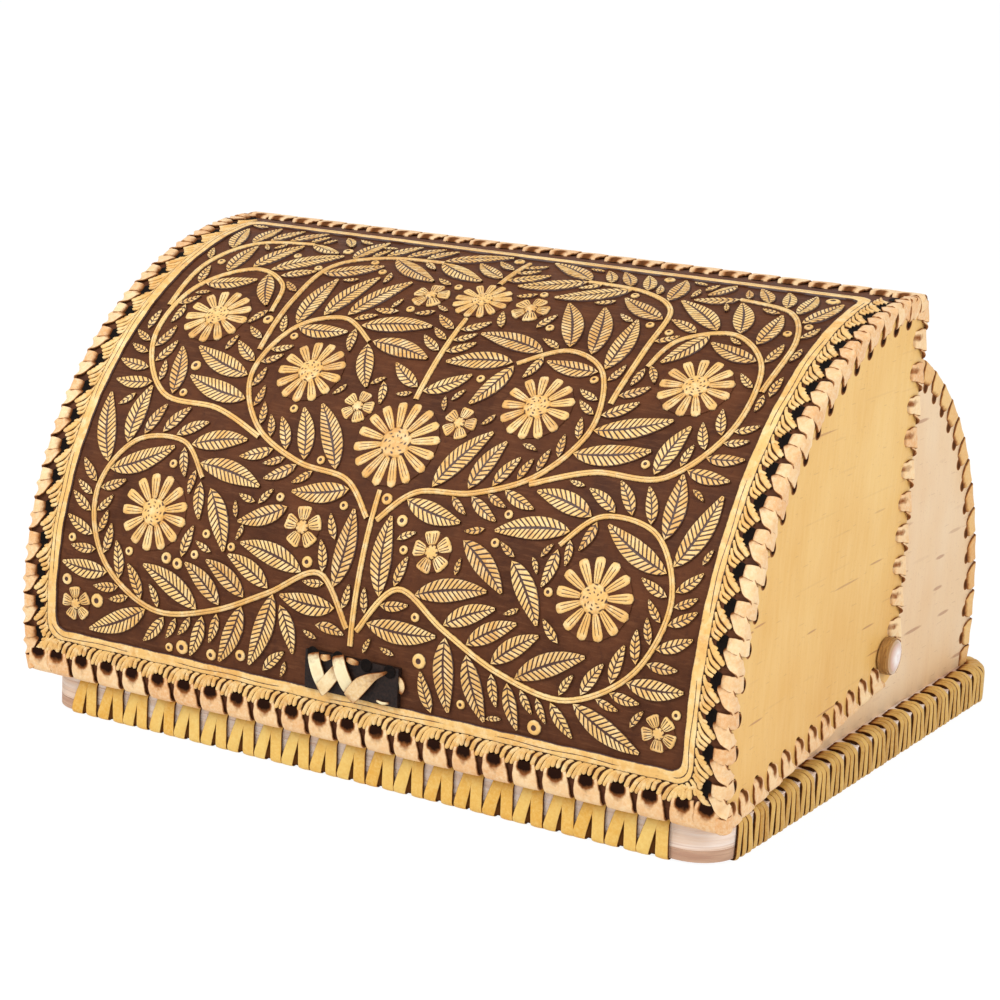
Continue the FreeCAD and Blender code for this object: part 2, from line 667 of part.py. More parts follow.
class Leaf:
    """A pointed leaf: foot, turn, length, width and how much its midrib bends."""

    def __init__(self, foot, turn, length, hand):
        self.foot = foot
        self.turn = turn
        self.length = length
        self.width = min(leaf_widest, length * leaf_slenderness)
        self.bend = -hand * leaf_bend

    def half(self, t):
        return self.width / 2 * math.sin(math.pi * t ** leaf_fullness) ** leaf_fullness

    def rib(self, t):
        return self.foot + cmath.rect(self.length * t, self.turn) * complex(1, self.bend * t / 2)

    def across(self, t, reach):
        return cmath.rect(reach, self.turn + self.bend * t + math.pi / 2)

    def places(self):
        """Spread places of the leaf and of the bare ground around it."""
        found = []
        for i in range(1, round(self.length) + 1):
            t = min(1.0, i / self.length)
            side = self.across(t, self.half(t) + form_gap)
            found += [self.rib(t) + side * k for k in (-1, -0.5, 0, 0.5, 1)]
        return found

    def outline(self):
        up = [self.rib(t) + self.across(t, self.half(t) - carving_inset) for t in leaf_stations]
        down = [self.rib(t) - self.across(t, self.half(t) - carving_inset) for t in leaf_stations]
        return [self.rib(leaf_foot)] + up + [self.rib(leaf_tip)] + down[::-1]


def leaves_along(path, ground):
    """Leaves on both sides of a stem, each the longest that its place allows."""
    found = []
    walked = 0.0
    last = {1: 0.0, -1: -leaf_pitch / 2}
    for a, b in zip(path, path[1:]):
        pieces = max(1, round(abs(b - a) / leaf_walk))
        for i in range(pieces):
            walked += abs(b - a) / pieces
            place = a + (b - a) * (i + 1) / pieces
            for hand in (1, -1):
                if walked - last[hand] < leaf_pitch:
                    continue
                leaf = longest_leaf(place, cmath.phase(b - a), hand, ground)
                if leaf:
                    found.append(leaf)
                    ground.take(leaf.places())
                    last[hand] = walked
    return found


def longest_leaf(place, ahead, hand, ground):
    for length in leaf_lengths:
        for lean in leaf_leans:
            turn = ahead + hand * lean
            leaf = Leaf(place + cmath.rect(leaf_stalk, turn), turn, length, hand)
            if ground.free(leaf.places()):
                return leaf
    return None


def stem_outline(path):
    """Strip of constant width along a stem."""
    left = []
    right = []
    for i, place in enumerate(path):
        along = path[min(i + 1, len(path) - 1)] - path[max(i - 1, 0)]
        side = along / abs(along) * complex(0, stem_width / 2)
        left.append(place + side)
        right.append(place - side)
    return left + right[::-1]


def drawn_point(place, radius):
    """Point over the front sheet for a drawn place, at a radius of the lid's arch."""
    low = band_margin_bottom + band_width
    high = math.radians(lid_top_angle - lid_bottom_angle) * lid_radius - band_margin_top - band_width
    up = low + (place.imag - drawn_low) * (high - low) / (drawn_high - drawn_low)
    half = lid_half_width - band_margin_side - band_width
    angle = lid_bottom_angle + math.degrees(up / lid_radius)
    return arch_point(LID_AXIS, radius, angle) + X_AXIS * (place.real * half / drawn_half), angle


def raised_form(outline, shell):
    """Low form with a flat outline, as high as the shell that it is cut from."""
    spots = [drawn_point(place, lid_radius + carving_height / 2) for place in outline]
    angles = [angle for point, angle in spots]
    direction = radial((min(angles) + max(angles)) / 2)
    axis = Vec(0, *LID_AXIS)
    foot = min((point - axis).dot(direction) for point, angle in spots) - overcut
    flat = [point - direction * ((point - axis).dot(direction) - foot) for point, angle in spots]
    return polygon_prism(flat, direction * (lid_radius + 2 * overcut - foot)).common(shell)


def raised_disc(middle, radius, shell):
    point, angle = drawn_point(middle, lid_radius - overcut)
    return Part.makeCylinder(radius, 2 * overcut, point, radial(angle)).common(shell)


def carved_forms():
    """The main motifs of the carving: stems, flowers and the long leaves."""
    def shell(height):
        return arch_sheet(LID_AXIS, lid_radius + height, lid_radius - carving_root, lid_bottom_angle,
                          lid_top_angle, -lid_half_width, lid_half_width)

    low = shell(carving_height)
    high = shell(flower_eye_height)
    ground = Ground()
    left, right = round(tab_left - tab_room), round(tab_right + tab_room)
    top = round(band_margin_bottom + band_width + tab_clearance + tab_height + tab_room)
    ground.take([complex(x, up) for x in range(left, right + 1) for up in range(top + 1)])
    forms = []
    for middle, radius in all_flowers():
        ground.take_disc(middle, radius + flower_gap)
        disc = raised_disc(middle, radius - 2 * carving_inset, low)
        forms.append(disc.fuse(raised_disc(middle, radius * flower_eye, high)))
    stems = all_stems()
    for path in stems:
        ground.take_lane(path)
        forms.append(raised_form(stem_outline(path), low))
    for path in stems:
        forms += [raised_form(leaf.outline(), low) for leaf in leaves_along(path, ground)]
    return forms


# ------------------------------------------------------------------ lid's pieces
def build_lid():
    step = math.degrees(stitch_pitch / lid_radius)
    seam = corner_stitch(lid_half_width, lid_radius, lid_lining_radius, wall_thickness,
                         arch_hole_setback, side_hole_drop, side_slope, strip_slack)
    seam_end = seam_end_pitches * step
    seam_angles = spaced(lid_bottom_angle + seam_end, lid_top_angle - seam_end, step)
    seam_loops, seam_holes = seam.at(on_arch(LID_AXIS, seam_angles))
    sheet = edge_stitch(reach_to_edge, lid_sheet_thickness + lining_thickness, strip_slack,
                        neck_width, stitch_width, hole_diameter, neck_inset)
    row_half = lid_half_width - wall_thickness - stitch_pitch
    xs = spaced(-row_half, row_half, stitch_pitch)
    low_loops, low_holes = sheet.at(along_arch_edge(LID_AXIS, lid_radius, lid_bottom_angle, -1, xs))
    top_loops, top_holes = sheet.at(along_arch_edge(LID_AXIS, lid_radius, lid_top_angle, 1, xs))
    wall = edge_stitch(reach_to_edge, wall_thickness, strip_slack, neck_width, stitch_width,
                       hole_diameter, neck_inset)
    top, rear_touch, low_touch, front = lid_side_corners(lid_inner_radius)
    clear_of_disc = disc_diameter / 2 + neck_width / 2
    rear_loops, rear_holes = wall.at(places_along_side_edge(top, rear_touch, stitch_pitch, clear_of_disc))
    foot_loops, foot_holes = wall.at(places_along_side_edge(front, low_touch, stitch_pitch, clear_of_disc))

    arch_cuts = seam_holes + [mirrored(h) for h in seam_holes] + low_holes + top_holes
    front_sheet = arch_sheet(LID_AXIS, lid_radius, lid_inner_radius, lid_bottom_angle, lid_top_angle,
                             -lid_half_width, lid_half_width)
    carved = front_sheet.fuse([raised_band()] + carved_forms())
    export("lid_front_sheet", carved.removeSplitter().cut(arch_cuts))
    lean = side_slope * (lid_radius - lid_lining_radius)
    lining_half = lid_half_width - bark_thickness - lean - seat_clearance
    lining = arch_sheet(LID_AXIS, lid_inner_radius, lid_lining_radius, lid_bottom_angle, lid_top_angle,
                        -lining_half, lining_half)
    export("lid_front_lining", lining.cut(arch_cuts))

    running_hole = rod(pin_diameter + 2 * pin_running_clearance, 0, base_width, pivot_y, pivot_z)
    side_cuts = seam_holes + rear_holes + foot_holes + [running_hole]
    side = leaning_sheet(lid_inner_radius, lid_wall_face, bark_thickness)
    side_lining = leaning_sheet(lid_lining_radius, lid_wall_face - bark_thickness, lining_thickness)
    export_pair("lid_side", side.cut(side_cuts))
    export_pair("lid_side_lining", side_lining.cut(side_cuts))
    export_pair("lid_lacing_arch", group(seam_loops))
    export_pair("lid_lacing_rear", group(rear_loops))
    export_pair("lid_lacing_foot", group(foot_loops))
    export("lid_lacing_lower_edge", group(low_loops))
    export("lid_lacing_upper_edge", group(top_loops))


# ------------------------------------------------------------------ pull tab
def build_tab():
    mm = math.degrees(1 / lid_radius)
    low = lid_bottom_angle + (band_margin_bottom + band_width + tab_clearance) * mm
    high = low + tab_height * mm
    tab = arch_sheet(LID_AXIS, lid_radius + tab_thickness, lid_radius, low, high, tab_left, tab_right)
    export("pull_tab", tab)
    skin = arch_sheet(LID_AXIS, lid_radius + tab_thickness + tab_strip_thickness,
                      lid_radius + tab_thickness, low, high, tab_left, tab_right)
    strips = [tab_limb(foot, top, tab_strip_width, skin) for foot, top in tab_strip_places]
    room = [tab_limb(foot, top, tab_strip_width + 2 * tab_strip_gap, skin) for foot, top in tab_strip_places]
    tucked = [strip.cut(over) for strip, over in zip(strips, room[1:])]
    export("pull_tab_strips", group(tucked + strips[-1:]))


def tab_limb(foot, top, width, skin):
    """Strip that slants over the tab; foot and top are places across from the tab's left end."""
    z_low = skin.BoundBox.ZMin + tab_strip_inset
    z_high = skin.BoundBox.ZMax - tab_strip_inset
    corners = ((foot - width / 2, z_low), (foot + width / 2, z_low), (top + width / 2, z_high),
               (top - width / 2, z_high))
    points = [Vec(tab_left + x, -2 * base_depth, z) for x, z in corners]
    return polygon_prism(points, Vec(0, 2 * base_depth, 0)).common(skin)


os.makedirs(OUT, exist_ok=True)
build_base()
build_body()
build_pivots()
build_lid()
build_tab()
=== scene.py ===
"""Looks of the birch-bark bread box: lacing strips, carved relief and bark finishes around the CAD frame.

Lengths are millimetres in the making of shapes, and metres in every mesh. X runs to the right, Y to
the back and Z up. Angles on the arched sheets run from straight forward (0) over the top (90) back.
"""
import bpy
import cmath
import json
import math
import random
from mathutils import Matrix, Vector


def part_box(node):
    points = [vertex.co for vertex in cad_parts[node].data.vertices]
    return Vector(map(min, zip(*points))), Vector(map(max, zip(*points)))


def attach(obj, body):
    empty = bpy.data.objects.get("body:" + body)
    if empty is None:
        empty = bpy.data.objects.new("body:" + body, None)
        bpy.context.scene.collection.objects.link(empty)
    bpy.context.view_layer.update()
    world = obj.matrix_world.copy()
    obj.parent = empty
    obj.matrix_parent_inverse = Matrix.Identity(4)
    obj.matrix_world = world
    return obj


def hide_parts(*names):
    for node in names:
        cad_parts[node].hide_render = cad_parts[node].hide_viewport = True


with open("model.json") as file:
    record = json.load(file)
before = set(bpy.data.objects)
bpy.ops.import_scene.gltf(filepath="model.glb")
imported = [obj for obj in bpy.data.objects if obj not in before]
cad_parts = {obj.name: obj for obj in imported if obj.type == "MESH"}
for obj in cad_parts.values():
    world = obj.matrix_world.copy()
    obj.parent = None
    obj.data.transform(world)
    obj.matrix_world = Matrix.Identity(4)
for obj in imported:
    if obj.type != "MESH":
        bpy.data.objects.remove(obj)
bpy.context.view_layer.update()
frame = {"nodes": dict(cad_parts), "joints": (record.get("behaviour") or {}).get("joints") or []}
chance = random.Random(1680)
MM = 0.001


def box_mm(node):
    """Lowest and highest corner of a CAD node, in millimetres."""
    low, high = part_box(node)
    return Vector(low) / MM, Vector(high) / MM


# ------------------------------------------------------------------ sizes shared with the frame
SHEET_LOW, SHEET_HIGH = box_mm("lid_front_sheet")
LID_AXIS = (1.8, 50.7)                  # Y and Z of the lid's arch
BODY_AXIS = (-1.5, 42.6)                # Y and Z of the body's arch
LID_HALF = SHEET_HIGH.x
BODY_HALF = box_mm("body_side_right")[1].x
BAND_HEIGHT = 0.8                       # raised band of the front sheet
LID_RADIUS = LID_AXIS[0] - SHEET_LOW.y - BAND_HEIGHT
BODY_RADIUS = box_mm("body_back_panel")[1].z - BODY_AXIS[1]
WALL_INSET = 7.5                        # of the lid's sides at the axis; from there they lean out to the arch
LID_LEAN = WALL_INSET / LID_RADIUS
LID_BARK, BODY_BARK = 2.4, 2.0          # thickness of the arched sheets without their lining
LID_THICKNESS = 3.9                     # front sheet and its lining
WALL_THICKNESS = 3.5                    # side bark and its lining
LID_LOW = -math.asin((LID_AXIS[1] - SHEET_LOW.z) / LID_RADIUS)
LID_HIGH = math.radians(93.1)
BODY_FRONT = math.radians(70.0)         # front edge of the back panel
HOLE_SETBACK = 8.8                      # middle of a hole from the straight edge that is laced
HOLE_INSET = 7.2                        # middle of a seam's hole from the arched sheet's edge
WALL_HOLE = 9.1                         # middle of the wall's hole from that edge, round the seam
HOLE_RADIUS = 3.1
STRIP = 0.9                             # thickness of every lacing strip
BASE_HALF = box_mm("base_board")[1]
BASE_TOP = BASE_HALF.z
PIVOT = Vector(frame["joints"][0]["pos_m"]) / MM


# ------------------------------------------------------------------ meshes
class Pile:
    """Many small pieces gathered in one mesh, with a tone for each piece and, for each point, a stain that
    also carries painted shade.
    """

    def __init__(self):
        self.points = []
        self.faces = []
        self.stain_and_shade = []
        self.tone = []

    def grid(self, rows, tone, closed=False):
        """Quads through rows of points with their stains and painted shade; closed joins each row's last
        point to its first.
        """
        start = len(self.points)
        across = len(rows[0])
        for row in rows:
            self.points += [point for point, stain_and_shade in row]
            self.stain_and_shade += [stain_and_shade for point, stain_and_shade in row]
        self.tone += [tone] * (across * len(rows))
        for a in range(start, start + across * (len(rows) - 1), across):
            for j in range(across if closed else across - 1):
                k = (j + 1) % across
                self.faces.append((a + j, a + k, a + across + k, a + across + j))
        return start

    def cap(self, first, count, flip):
        ring = range(first, first + count)
        self.faces.append(tuple(reversed(ring)) if flip else tuple(ring))

    def build(self, name, material, body, slot, node=None):
        """Make the piece, which rides on a body and may stand for a CAD node."""
        mesh = bpy.data.meshes.new(name)
        mesh.from_pydata([p * MM for p in self.points], [], self.faces)
        for label, values in (("stain_and_shade", self.stain_and_shade), ("tone", self.tone)):
            mesh.attributes.new(label, "FLOAT", "POINT").data.foreach_set("value", values)
        mesh.polygons.foreach_set("use_smooth", [True] * len(mesh.polygons))
        mesh.materials.append(material)
        mesh.validate()
        piece = bpy.data.objects.new(name, mesh)
        bpy.context.scene.collection.objects.link(piece)
        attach(piece, body)
        if node:
            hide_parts(node)


def smooth_path(knots, steps):
    """Catmull-Rom curve through knots, each a tuple of values or vectors of equal layout."""
    path = []
    last = len(knots) - 1
    for i in range(last):
        k0, k1, k2, k3 = (knots[max(0, min(last, i + d))] for d in (-1, 0, 1, 2))
        for step in range(steps):
            t = step / steps
            path.append(tuple(0.5 * (2 * b + (c - a) * t + (2 * a - 5 * b + 4 * c - d) * t * t
                                     + (3 * b - a - 3 * c + d) * t * t * t)
                              for a, b, c, d in zip(k0, k1, k2, k3)))
    path.append(tuple(knots[-1]))
    return path


# Cross section of a strip: across as a share of the width, up as a share of the thickness, and the stain of
# the cut edge, which the base wrapping darkens further as painted shade between its strips
CUT_EDGE = ((-0.5, -0.5, 0.5), (-0.5, 0.2, 0.5), (-0.475, 0.44, 0.2))
SECTION = [*CUT_EDGE, *((a, 0.5, 0) for a in (-0.44, -0.38, -0.26, -0.13, 0, 0.13, 0.26, 0.38, 0.44)),
           *((-a, b, stain_and_shade) for a, b, stain_and_shade in reversed(CUT_EDGE))]
STRIP_STEPS = 3                         # rows of points from one knot of a strip to the next


def cup(across, stain_and_shade):
    """Share of the stain and painted hole shade at a place across a strip, so that its outline is round."""
    half, soft = 0.12 + 0.28 * stain_and_shade, 0.14
    return min(1.0, max(0.0, (half - abs(across)) / soft))


def ribbon(pile, knots, tone, thickness=STRIP, crown=0.25, edge_stain_and_shade=1.0, cupped=None):
    """A flat strip with rounded edges. Each knot: centre, outward normal, width and stain with painted shade.

    A cupped strip has its painted shade of the hole rounded like the hole that it comes out of, about that
    share of its width."""
    path = smooth_path(knots, STRIP_STEPS)
    rows = []
    for i, (centre, normal, width, stain_and_shade) in enumerate(path):
        ahead = path[min(i + 1, len(path) - 1)][0] - path[max(i - 1, 0)][0]
        side = ahead.cross(normal).normalized()
        up = side.cross(ahead).normalized()
        row = []
        for a, b, cut_edge in SECTION:
            bulge = crown * (1 - 4 * a * a) if b > 0 else 0
            # near a hole the stain is mostly painted shade of the hole on the strip
            mark = stain_and_shade * (1 if cupped is None else cup(a - cupped, stain_and_shade))
            row.append((centre + side * (a * width) + up * (b * thickness + bulge),
                        min(1, max(0, mark, cut_edge * edge_stain_and_shade))))
        rows.append(row)
    start = pile.grid(rows, tone, closed=True)
    pile.cap(start, len(SECTION), False)
    pile.cap(start + (len(rows) - 1) * len(SECTION), len(SECTION), True)


def islands(node):
    """Middle of each separate solid of a CAD node, in millimetres."""
    mesh = frame["nodes"][node].data
    owner = list(range(len(mesh.vertices)))

    def root(i):
        while owner[i] != i:
            owner[i] = owner[owner[i]]
            i = owner[i]
        return i

    places = {}
    for i, vertex in enumerate(mesh.vertices):
        key = tuple(round(c, 6) for c in vertex.co)
        owner[root(i)] = root(places.setdefault(key, i))
    for edge in mesh.edges:
        owner[root(edge.vertices[0])] = root(edge.vertices[1])
    groups = {}
    for i, vertex in enumerate(mesh.vertices):
        groups.setdefault(root(i), []).append(vertex.co)
    middles = []
    for points in groups.values():
        low, high = (Vector([pick(p[k] for p in points) for k in range(3)]) for pick in (min, max))
        middles.append((low + high) / (2 * MM))
    return middles


# ------------------------------------------------------------------ surfaces that the pieces follow
class Arch:
    """An arched sheet between two side walls, and the seams where they meet."""

    corner = 1.2                        # rounding of a seam

    def __init__(self, axis, radius, half, lean):
        self.axis = axis
        self.radius = radius
        self.half = half
        self.lean = lean

    def at(self, x, radius, angle):
        return Vector((x, self.axis[0] - radius * math.cos(angle), self.axis[1] + radius * math.sin(angle)))

    def outward(self, angle):
        return Vector((0, -math.cos(angle), math.sin(angle)))

    def angle_of(self, point):
        """Angle of a point, between straight down (-90) and, over the top, straight down again (270)."""
        angle = math.atan2(point.z - self.axis[1], self.axis[0] - point.y)
        return angle % (2 * math.pi) if angle < -math.pi / 2 else angle

    def seam(self, side, u, angle, height):
        """Point and normal at u across the sheet, rounding the seam and going on down the side wall."""
        bend = self.corner * math.pi / 2
        start = self.half - self.corner
        turn = min(1, max(0, (u - start) / bend)) * math.pi / 2
        past = max(0, u - start - bend)
        reach = self.corner + height
        x = min(u, start) + reach * math.sin(turn) - self.lean * past
        radius = self.radius - self.corner + reach * math.cos(turn) - past
        normal = Vector((side * math.sin(turn), 0, 0)) + self.outward(angle) * math.cos(turn)
        return self.at(side * x, radius, angle), normal


lid_arch = Arch(LID_AXIS, LID_RADIUS, LID_HALF, LID_LEAN)
body_arch = Arch(BODY_AXIS, BODY_RADIUS, BODY_HALF, 0.0)
ARCHES = {"lid": lid_arch, "body": body_arch}


def vary(amount):
    return chance.uniform(-amount, amount)


# ------------------------------------------------------------------ lacing
def oval(pile, point_at, across, along, rings, sectors=18):
    """Patch of rings about a middle: share of the size, height and stain. point_at(across, along, height)."""
    turns = [2 * math.pi * k / sectors for k in range(sectors)]
    pile.grid([[(point_at(across * share * math.cos(turn), along * share * math.sin(turn), height), stain_and_shade)
                for turn in turns] for share, height, stain_and_shade in rings], 0.5, closed=True)


# Strips over a seam, from beside the hole and from the sheet's edge on: across, up the arch, height, width
# and stain, which is painted shade where a strip leaves or goes into a hole
LID_STRAIGHT = {
    "hole": ((1.7, 0.6, -1.0, 4.4, 1.0), (2.5, 0.6, 0.75, 5.0, 0.3), (4.6, 0.4, 1.05, 5.8, 0)),
    "edge": ((-0.9, 0.1, 1.15, 6.4, 0), (1.6, 0.1, 1.1, 6.9, 0), (4.8, 0.4, 0.95, 6.9, 0),
             (6.6, 0.9, 0.4, 6.4, 0.15), (7.4, 1.2, -0.9, 6.0, 1.0))}
LID_SLANTED = {
    "hole": ((2.5, -0.5, -0.9, 6.0, 1.0), (3.4, -1.9, 0.4, 6.5, 0.3), (4.7, -4.1, 0.55, 6.6, 0),
             (6.1, -6.5, 0.6, 6.7, 0)),
    "edge": ((0.7, -8.6, 0.55, 6.8, 0), (2.7, -10.5, 0.45, 6.8, 0), (4.9, -12.0, 0.3, 6.8, 0),
             (6.4, -12.8, 0.0, 6.6, 0.15), (7.2, -13.2, -1.1, 6.0, 1.0))}
LID_FOOT = {
    "hole": ((2.4, -13.6, -1.0, 5.0, 0.9), (3.6, -13.8, 0.7, 6.0, 0.2)),
    "edge": ((-0.9, -14.6, 1.3, 7.2, 0), (1.6, -14.9, 1.25, 7.4, 0), (4.8, -14.9, 0.9, 7.2, 0),
             (6.8, -14.6, -0.6, 6.4, 0.6))}
BODY_BROAD = {
    "hole": ((0.4, -3.0, -1.3, 6.5, 1.0), (1.6, -2.9, 0.3, 8.4, 0.3), (4.2, -2.7, 0.6, 11.6, 0)),
    "edge": ((-0.6, -2.2, 0.8, 12.6, 0), (1.4, -1.7, 0.8, 12.7, 0), (3.8, -1.2, 0.7, 12.2, 0),
             (5.8, -0.8, 0.6, 11.0, 0.0), (7.4, -0.5, 0.2, 9.0, 0.35), (8.3, -0.4, -1.1, 7.4, 1.0))}
LID_TOP_STRIPS = ((11.5, LID_STRAIGHT), (9.0, LID_SLANTED), (15.0, LID_SLANTED))  # rise over the last hole
BODY_END_STRIP = 0.92                   # share of the pitch, beyond the last hole
WALL_END_STRIP = 0.85                   # the same before the first hole of a lid side's straight edge
WALL_HOLE_SHIFT = {"lid": -1.2, "body": 0.8}    # up the arch, from the sheet's hole to the wall's
# Painted shade of a hole from its rim to its middle: share of the size, height and stain
SHADED = ((1.0, 0.02, 0.35), (0.88, 0.07, 0.6), (0.6, 0.06, 0.85), (0.3, 0.03, 1.0), (0.01, 0.02, 1.0))
HOLE_DEPTH = 1.0                        # of the painted shade patch of a strip's turn inside its hole


def seam_strip(pile, arch, side, angle, kind, drop, tone):
    """One strip over a seam."""
    knots = [arch.seam(side, arch.half - inset + u, angle + (v + drop) / arch.radius, h) + (w + vary(0.12), s)
             for inset, places in ((HOLE_INSET, kind["hole"]), (0, kind["edge"])) for u, v, h, w, s in places]
    ribbon(pile, knots, tone, crown=0.1)


def seam_lacing(name, body, side, cad_node):
    """Lacing of a seam. On the lid two strips fan out of each hole, on the body one broad strip does."""
    pile = Pile()
    arch = ARCHES[body]
    mm = 1 / arch.radius
    angles = sorted(arch.angle_of(place) for place in islands(cad_node))
    if body == "lid":
        laid = [(a, kind) for a in angles for kind in (LID_STRAIGHT, LID_SLANTED)] + [(angles[0], LID_FOOT)]
        laid += [(angles[-1] + rise * mm, kind) for rise, kind in LID_TOP_STRIPS]
    else:
        end = angles[-1] + BODY_END_STRIP * (angles[1] - angles[0])
        laid = [(a, BODY_BROAD) for a in angles + [end]]
    for a, kind in laid:
        seam_strip(pile, arch, side, a, kind, vary(0.3), 1.0 if kind is LID_FOOT else chance.random())
    # painted shade in the holes of the wall and of the sheet: place past the sheet's edge and up the arch,
    # depth, half width and half length
    wells = ((WALL_HOLE, WALL_HOLE_SHIFT[body], 0, 2.9, 3.3),
             (-HOLE_INSET, 0, HOLE_DEPTH, HOLE_RADIUS, HOLE_RADIUS))
    for a in angles:
        for past, rise, depth, wide, long in wells:
            def point_at(across, along, height):
                return arch.seam(side, arch.half + past + across, a + (along + rise) * mm, height - depth)[0]
            oval(pile, point_at, wide, long, SHADED)
    pile.build(name, STRIPS[body], body, body + "_lacing", cad_node)


# Strip over a straight edge: inset from the edge, height, share of the slant, and stain, which near the hole
# is painted shade. Heights are over the outer face outside, and over the inner face inside.
EDGE_OUTSIDE = ((10.7, -0.9, 0.0, 1.0), (10.2, 0.25, 0.0, 1.0), (9.3, 0.7, 0.05, 1.0), (8.2, 0.8, 0.1, 0.97),
                (7.0, 0.85, 0.12, 0.8), (5.8, 0.9, 0.15, 0.52), (4.4, 0.95, 0.25, 0.28),
                (2.4, 0.95, 0.45, 0.08), (0.3, 0.75, 0.7, 0.0), (-0.9, -0.4, 0.9, 0.0))
EDGE_INSIDE = ((-0.8, 0.3, 1.1, 0.0), (0.4, -0.75, 1.3, 0.0), (3.4, -0.8, 1.6, 0.0), (6.6, -0.4, 1.9, 0.5),
               (7.8, 1.2, 2.0, 1.0))
EDGE_TURN = (-1.05, 1.0, 0.0)           # the same half way round the edge, without a height
TURN_DEPTH = 2.0                        # of the line that the strip turns about, from the edge
EDGE_ROUNDING = 1.2                     # how fast its faces turn outward within that depth
UNDER_STRIP = 0.45                      # the strip between two lobes lies this much lower


def edge_knots(point_at, thickness, wide, slant, reach=1.0, shade=1.0):
    """Strip out of a hole, over an edge and back under it, narrower towards its hole.

    point_at(inset, height, along) gives a place and its normal."""
    inset, share, stain_and_shade = EDGE_TURN
    rows = [*EDGE_OUTSIDE, (inset, -thickness / 2, share, stain_and_shade),
            *((d, h - thickness, k, s) for d, h, k, s in EDGE_INSIDE)]
    return [point_at(d * reach if d > 0 and h > -thickness / 2 else d, h, slant * k)
            + (wide * (1 - 0.2 * (max(0.0, d) / 10) ** 2), s * shade) for d, h, k, s in rows]


def lobe(pile, point_at, thickness, wide, slant, reach=1.0, shade=1.0, crown=0.25, cupped=0.0):
    """Broad strip over an edge, a little uneven in width and slant."""
    knots = edge_knots(point_at, thickness, wide + vary(0.4), slant + vary(0.4), reach, shade)
    ribbon(pile, knots, chance.random(), crown=crown, cupped=cupped)


def shade_inside_hole(pile, point_at):
    """Painted shade of the strip's turn inside its hole. point_at(inset, height, along)."""
    def inside(across, along, height):
        return point_at(HOLE_SETBACK + across, height - HOLE_DEPTH, along)[0]
    oval(pile, inside, HOLE_RADIUS, HOLE_RADIUS, SHADED)


def sheet_edge_lacing(name, body, edge_angle, sign, cad_node, thickness, past=None):
    """Lacing of an arched sheet's straight edge; sign is -1 where the sheet is above the edge.

    past is how far beyond the last holes one more strip covers each corner."""
    pile = Pile()
    arch = ARCHES[body]
    runs = sorted(place.x for place in islands(cad_node))
    if past:
        runs = [runs[0] - past] + runs + [runs[-1] + past]
    for run in runs:
        def point_at(inset, height, along):
            point = arch.at(run + along, arch.radius + height, edge_angle - sign * inset / arch.radius)
            middle = arch.at(run + along, arch.radius - thickness / 2,
                             edge_angle - sign * TURN_DEPTH / arch.radius)
            return point, (point - middle).normalized()
        lobe(pile, point_at, thickness, wide=12.5, slant=0.9, shade=0.7 if sign > 0 else 1.0)
        shade_inside_hole(pile, point_at)
    pile.build(name, STRIPS[body], body, body + "_lacing", cad_node)


def wall_edge_lacing(name, side, cad_node, corner, far, shade):
    """Lobes over the straight edge of a lid side, with a narrow slanting strip between them."""
    pile = Pile()
    along = (far - corner).normalized()
    inward = Vector((1, 0, 0)).cross(along)
    if (PIVOT - corner).dot(inward) < 0:
        inward = -inward
    runs = sorted((place - corner).dot(along) for place in islands(cad_node))
    step = runs[1] - runs[0]
    for run in [runs[0] - WALL_END_STRIP * step] + runs:
        def point_at(inset, height, shift):
            spot = corner + along * (run + shift) + inward * inset
            out = (height + WALL_THICKNESS / 2) * Vector((side, 0, 0))
            normal = (out - inward * max(0, TURN_DEPTH - inset) * EDGE_ROUNDING).normalized()
            lean = LID_LEAN * math.hypot(spot.y - LID_AXIS[0], spot.z - LID_AXIS[1])
            return Vector((side * (LID_HALF - WALL_INSET + lean + height), spot.y, spot.z)), normal

        def under(inset, height, shift):
            return point_at(inset, height - UNDER_STRIP, shift)
        lobe(pile, point_at, WALL_THICKNESS, wide=9.2, slant=3.0, reach=0.92, shade=shade, crown=0.35,
             cupped=-0.12 * side)
        between = edge_knots(under, WALL_THICKNESS, wide=5.8, slant=0.6 * step, reach=0.8, shade=0.3)
        ribbon(pile, between, chance.random(), crown=0.0)
        shade_inside_hole(pile, point_at)
    pile.build(name, STRIPS["lid"], "lid", "lid_lacing", cad_node)


def round_edge_lacing(name, side, cad_node):
    """Lacing of the round front edge of a body side wall."""
    pile = Pile()
    radius = BODY_RADIUS - BODY_BARK
    for place in islands(cad_node):
        def point_at(inset, height, along):
            turn = body_arch.angle_of(place) + along / radius
            point = body_arch.at(side * (BODY_HALF + height), radius - inset, turn)
            middle = body_arch.at(side * (BODY_HALF - WALL_THICKNESS / 2), radius - TURN_DEPTH, turn)
            return point, (point - middle).normalized()
        lobe(pile, point_at, WALL_THICKNESS, wide=10.8, slant=1.2, reach=0.9, shade=0.7)
        shade_inside_hole(pile, point_at)
    pile.build(name, STRIPS["body"], "body", "body_lacing", cad_node)


# ------------------------------------------------------------------ base wrapping
CORNER_RADIUS = 18.0                    # of the base, seen from above
CORNER_TURNS = (14, 30, 46, 62, 78)     # degrees from the side to the rear, of single strips on a corner
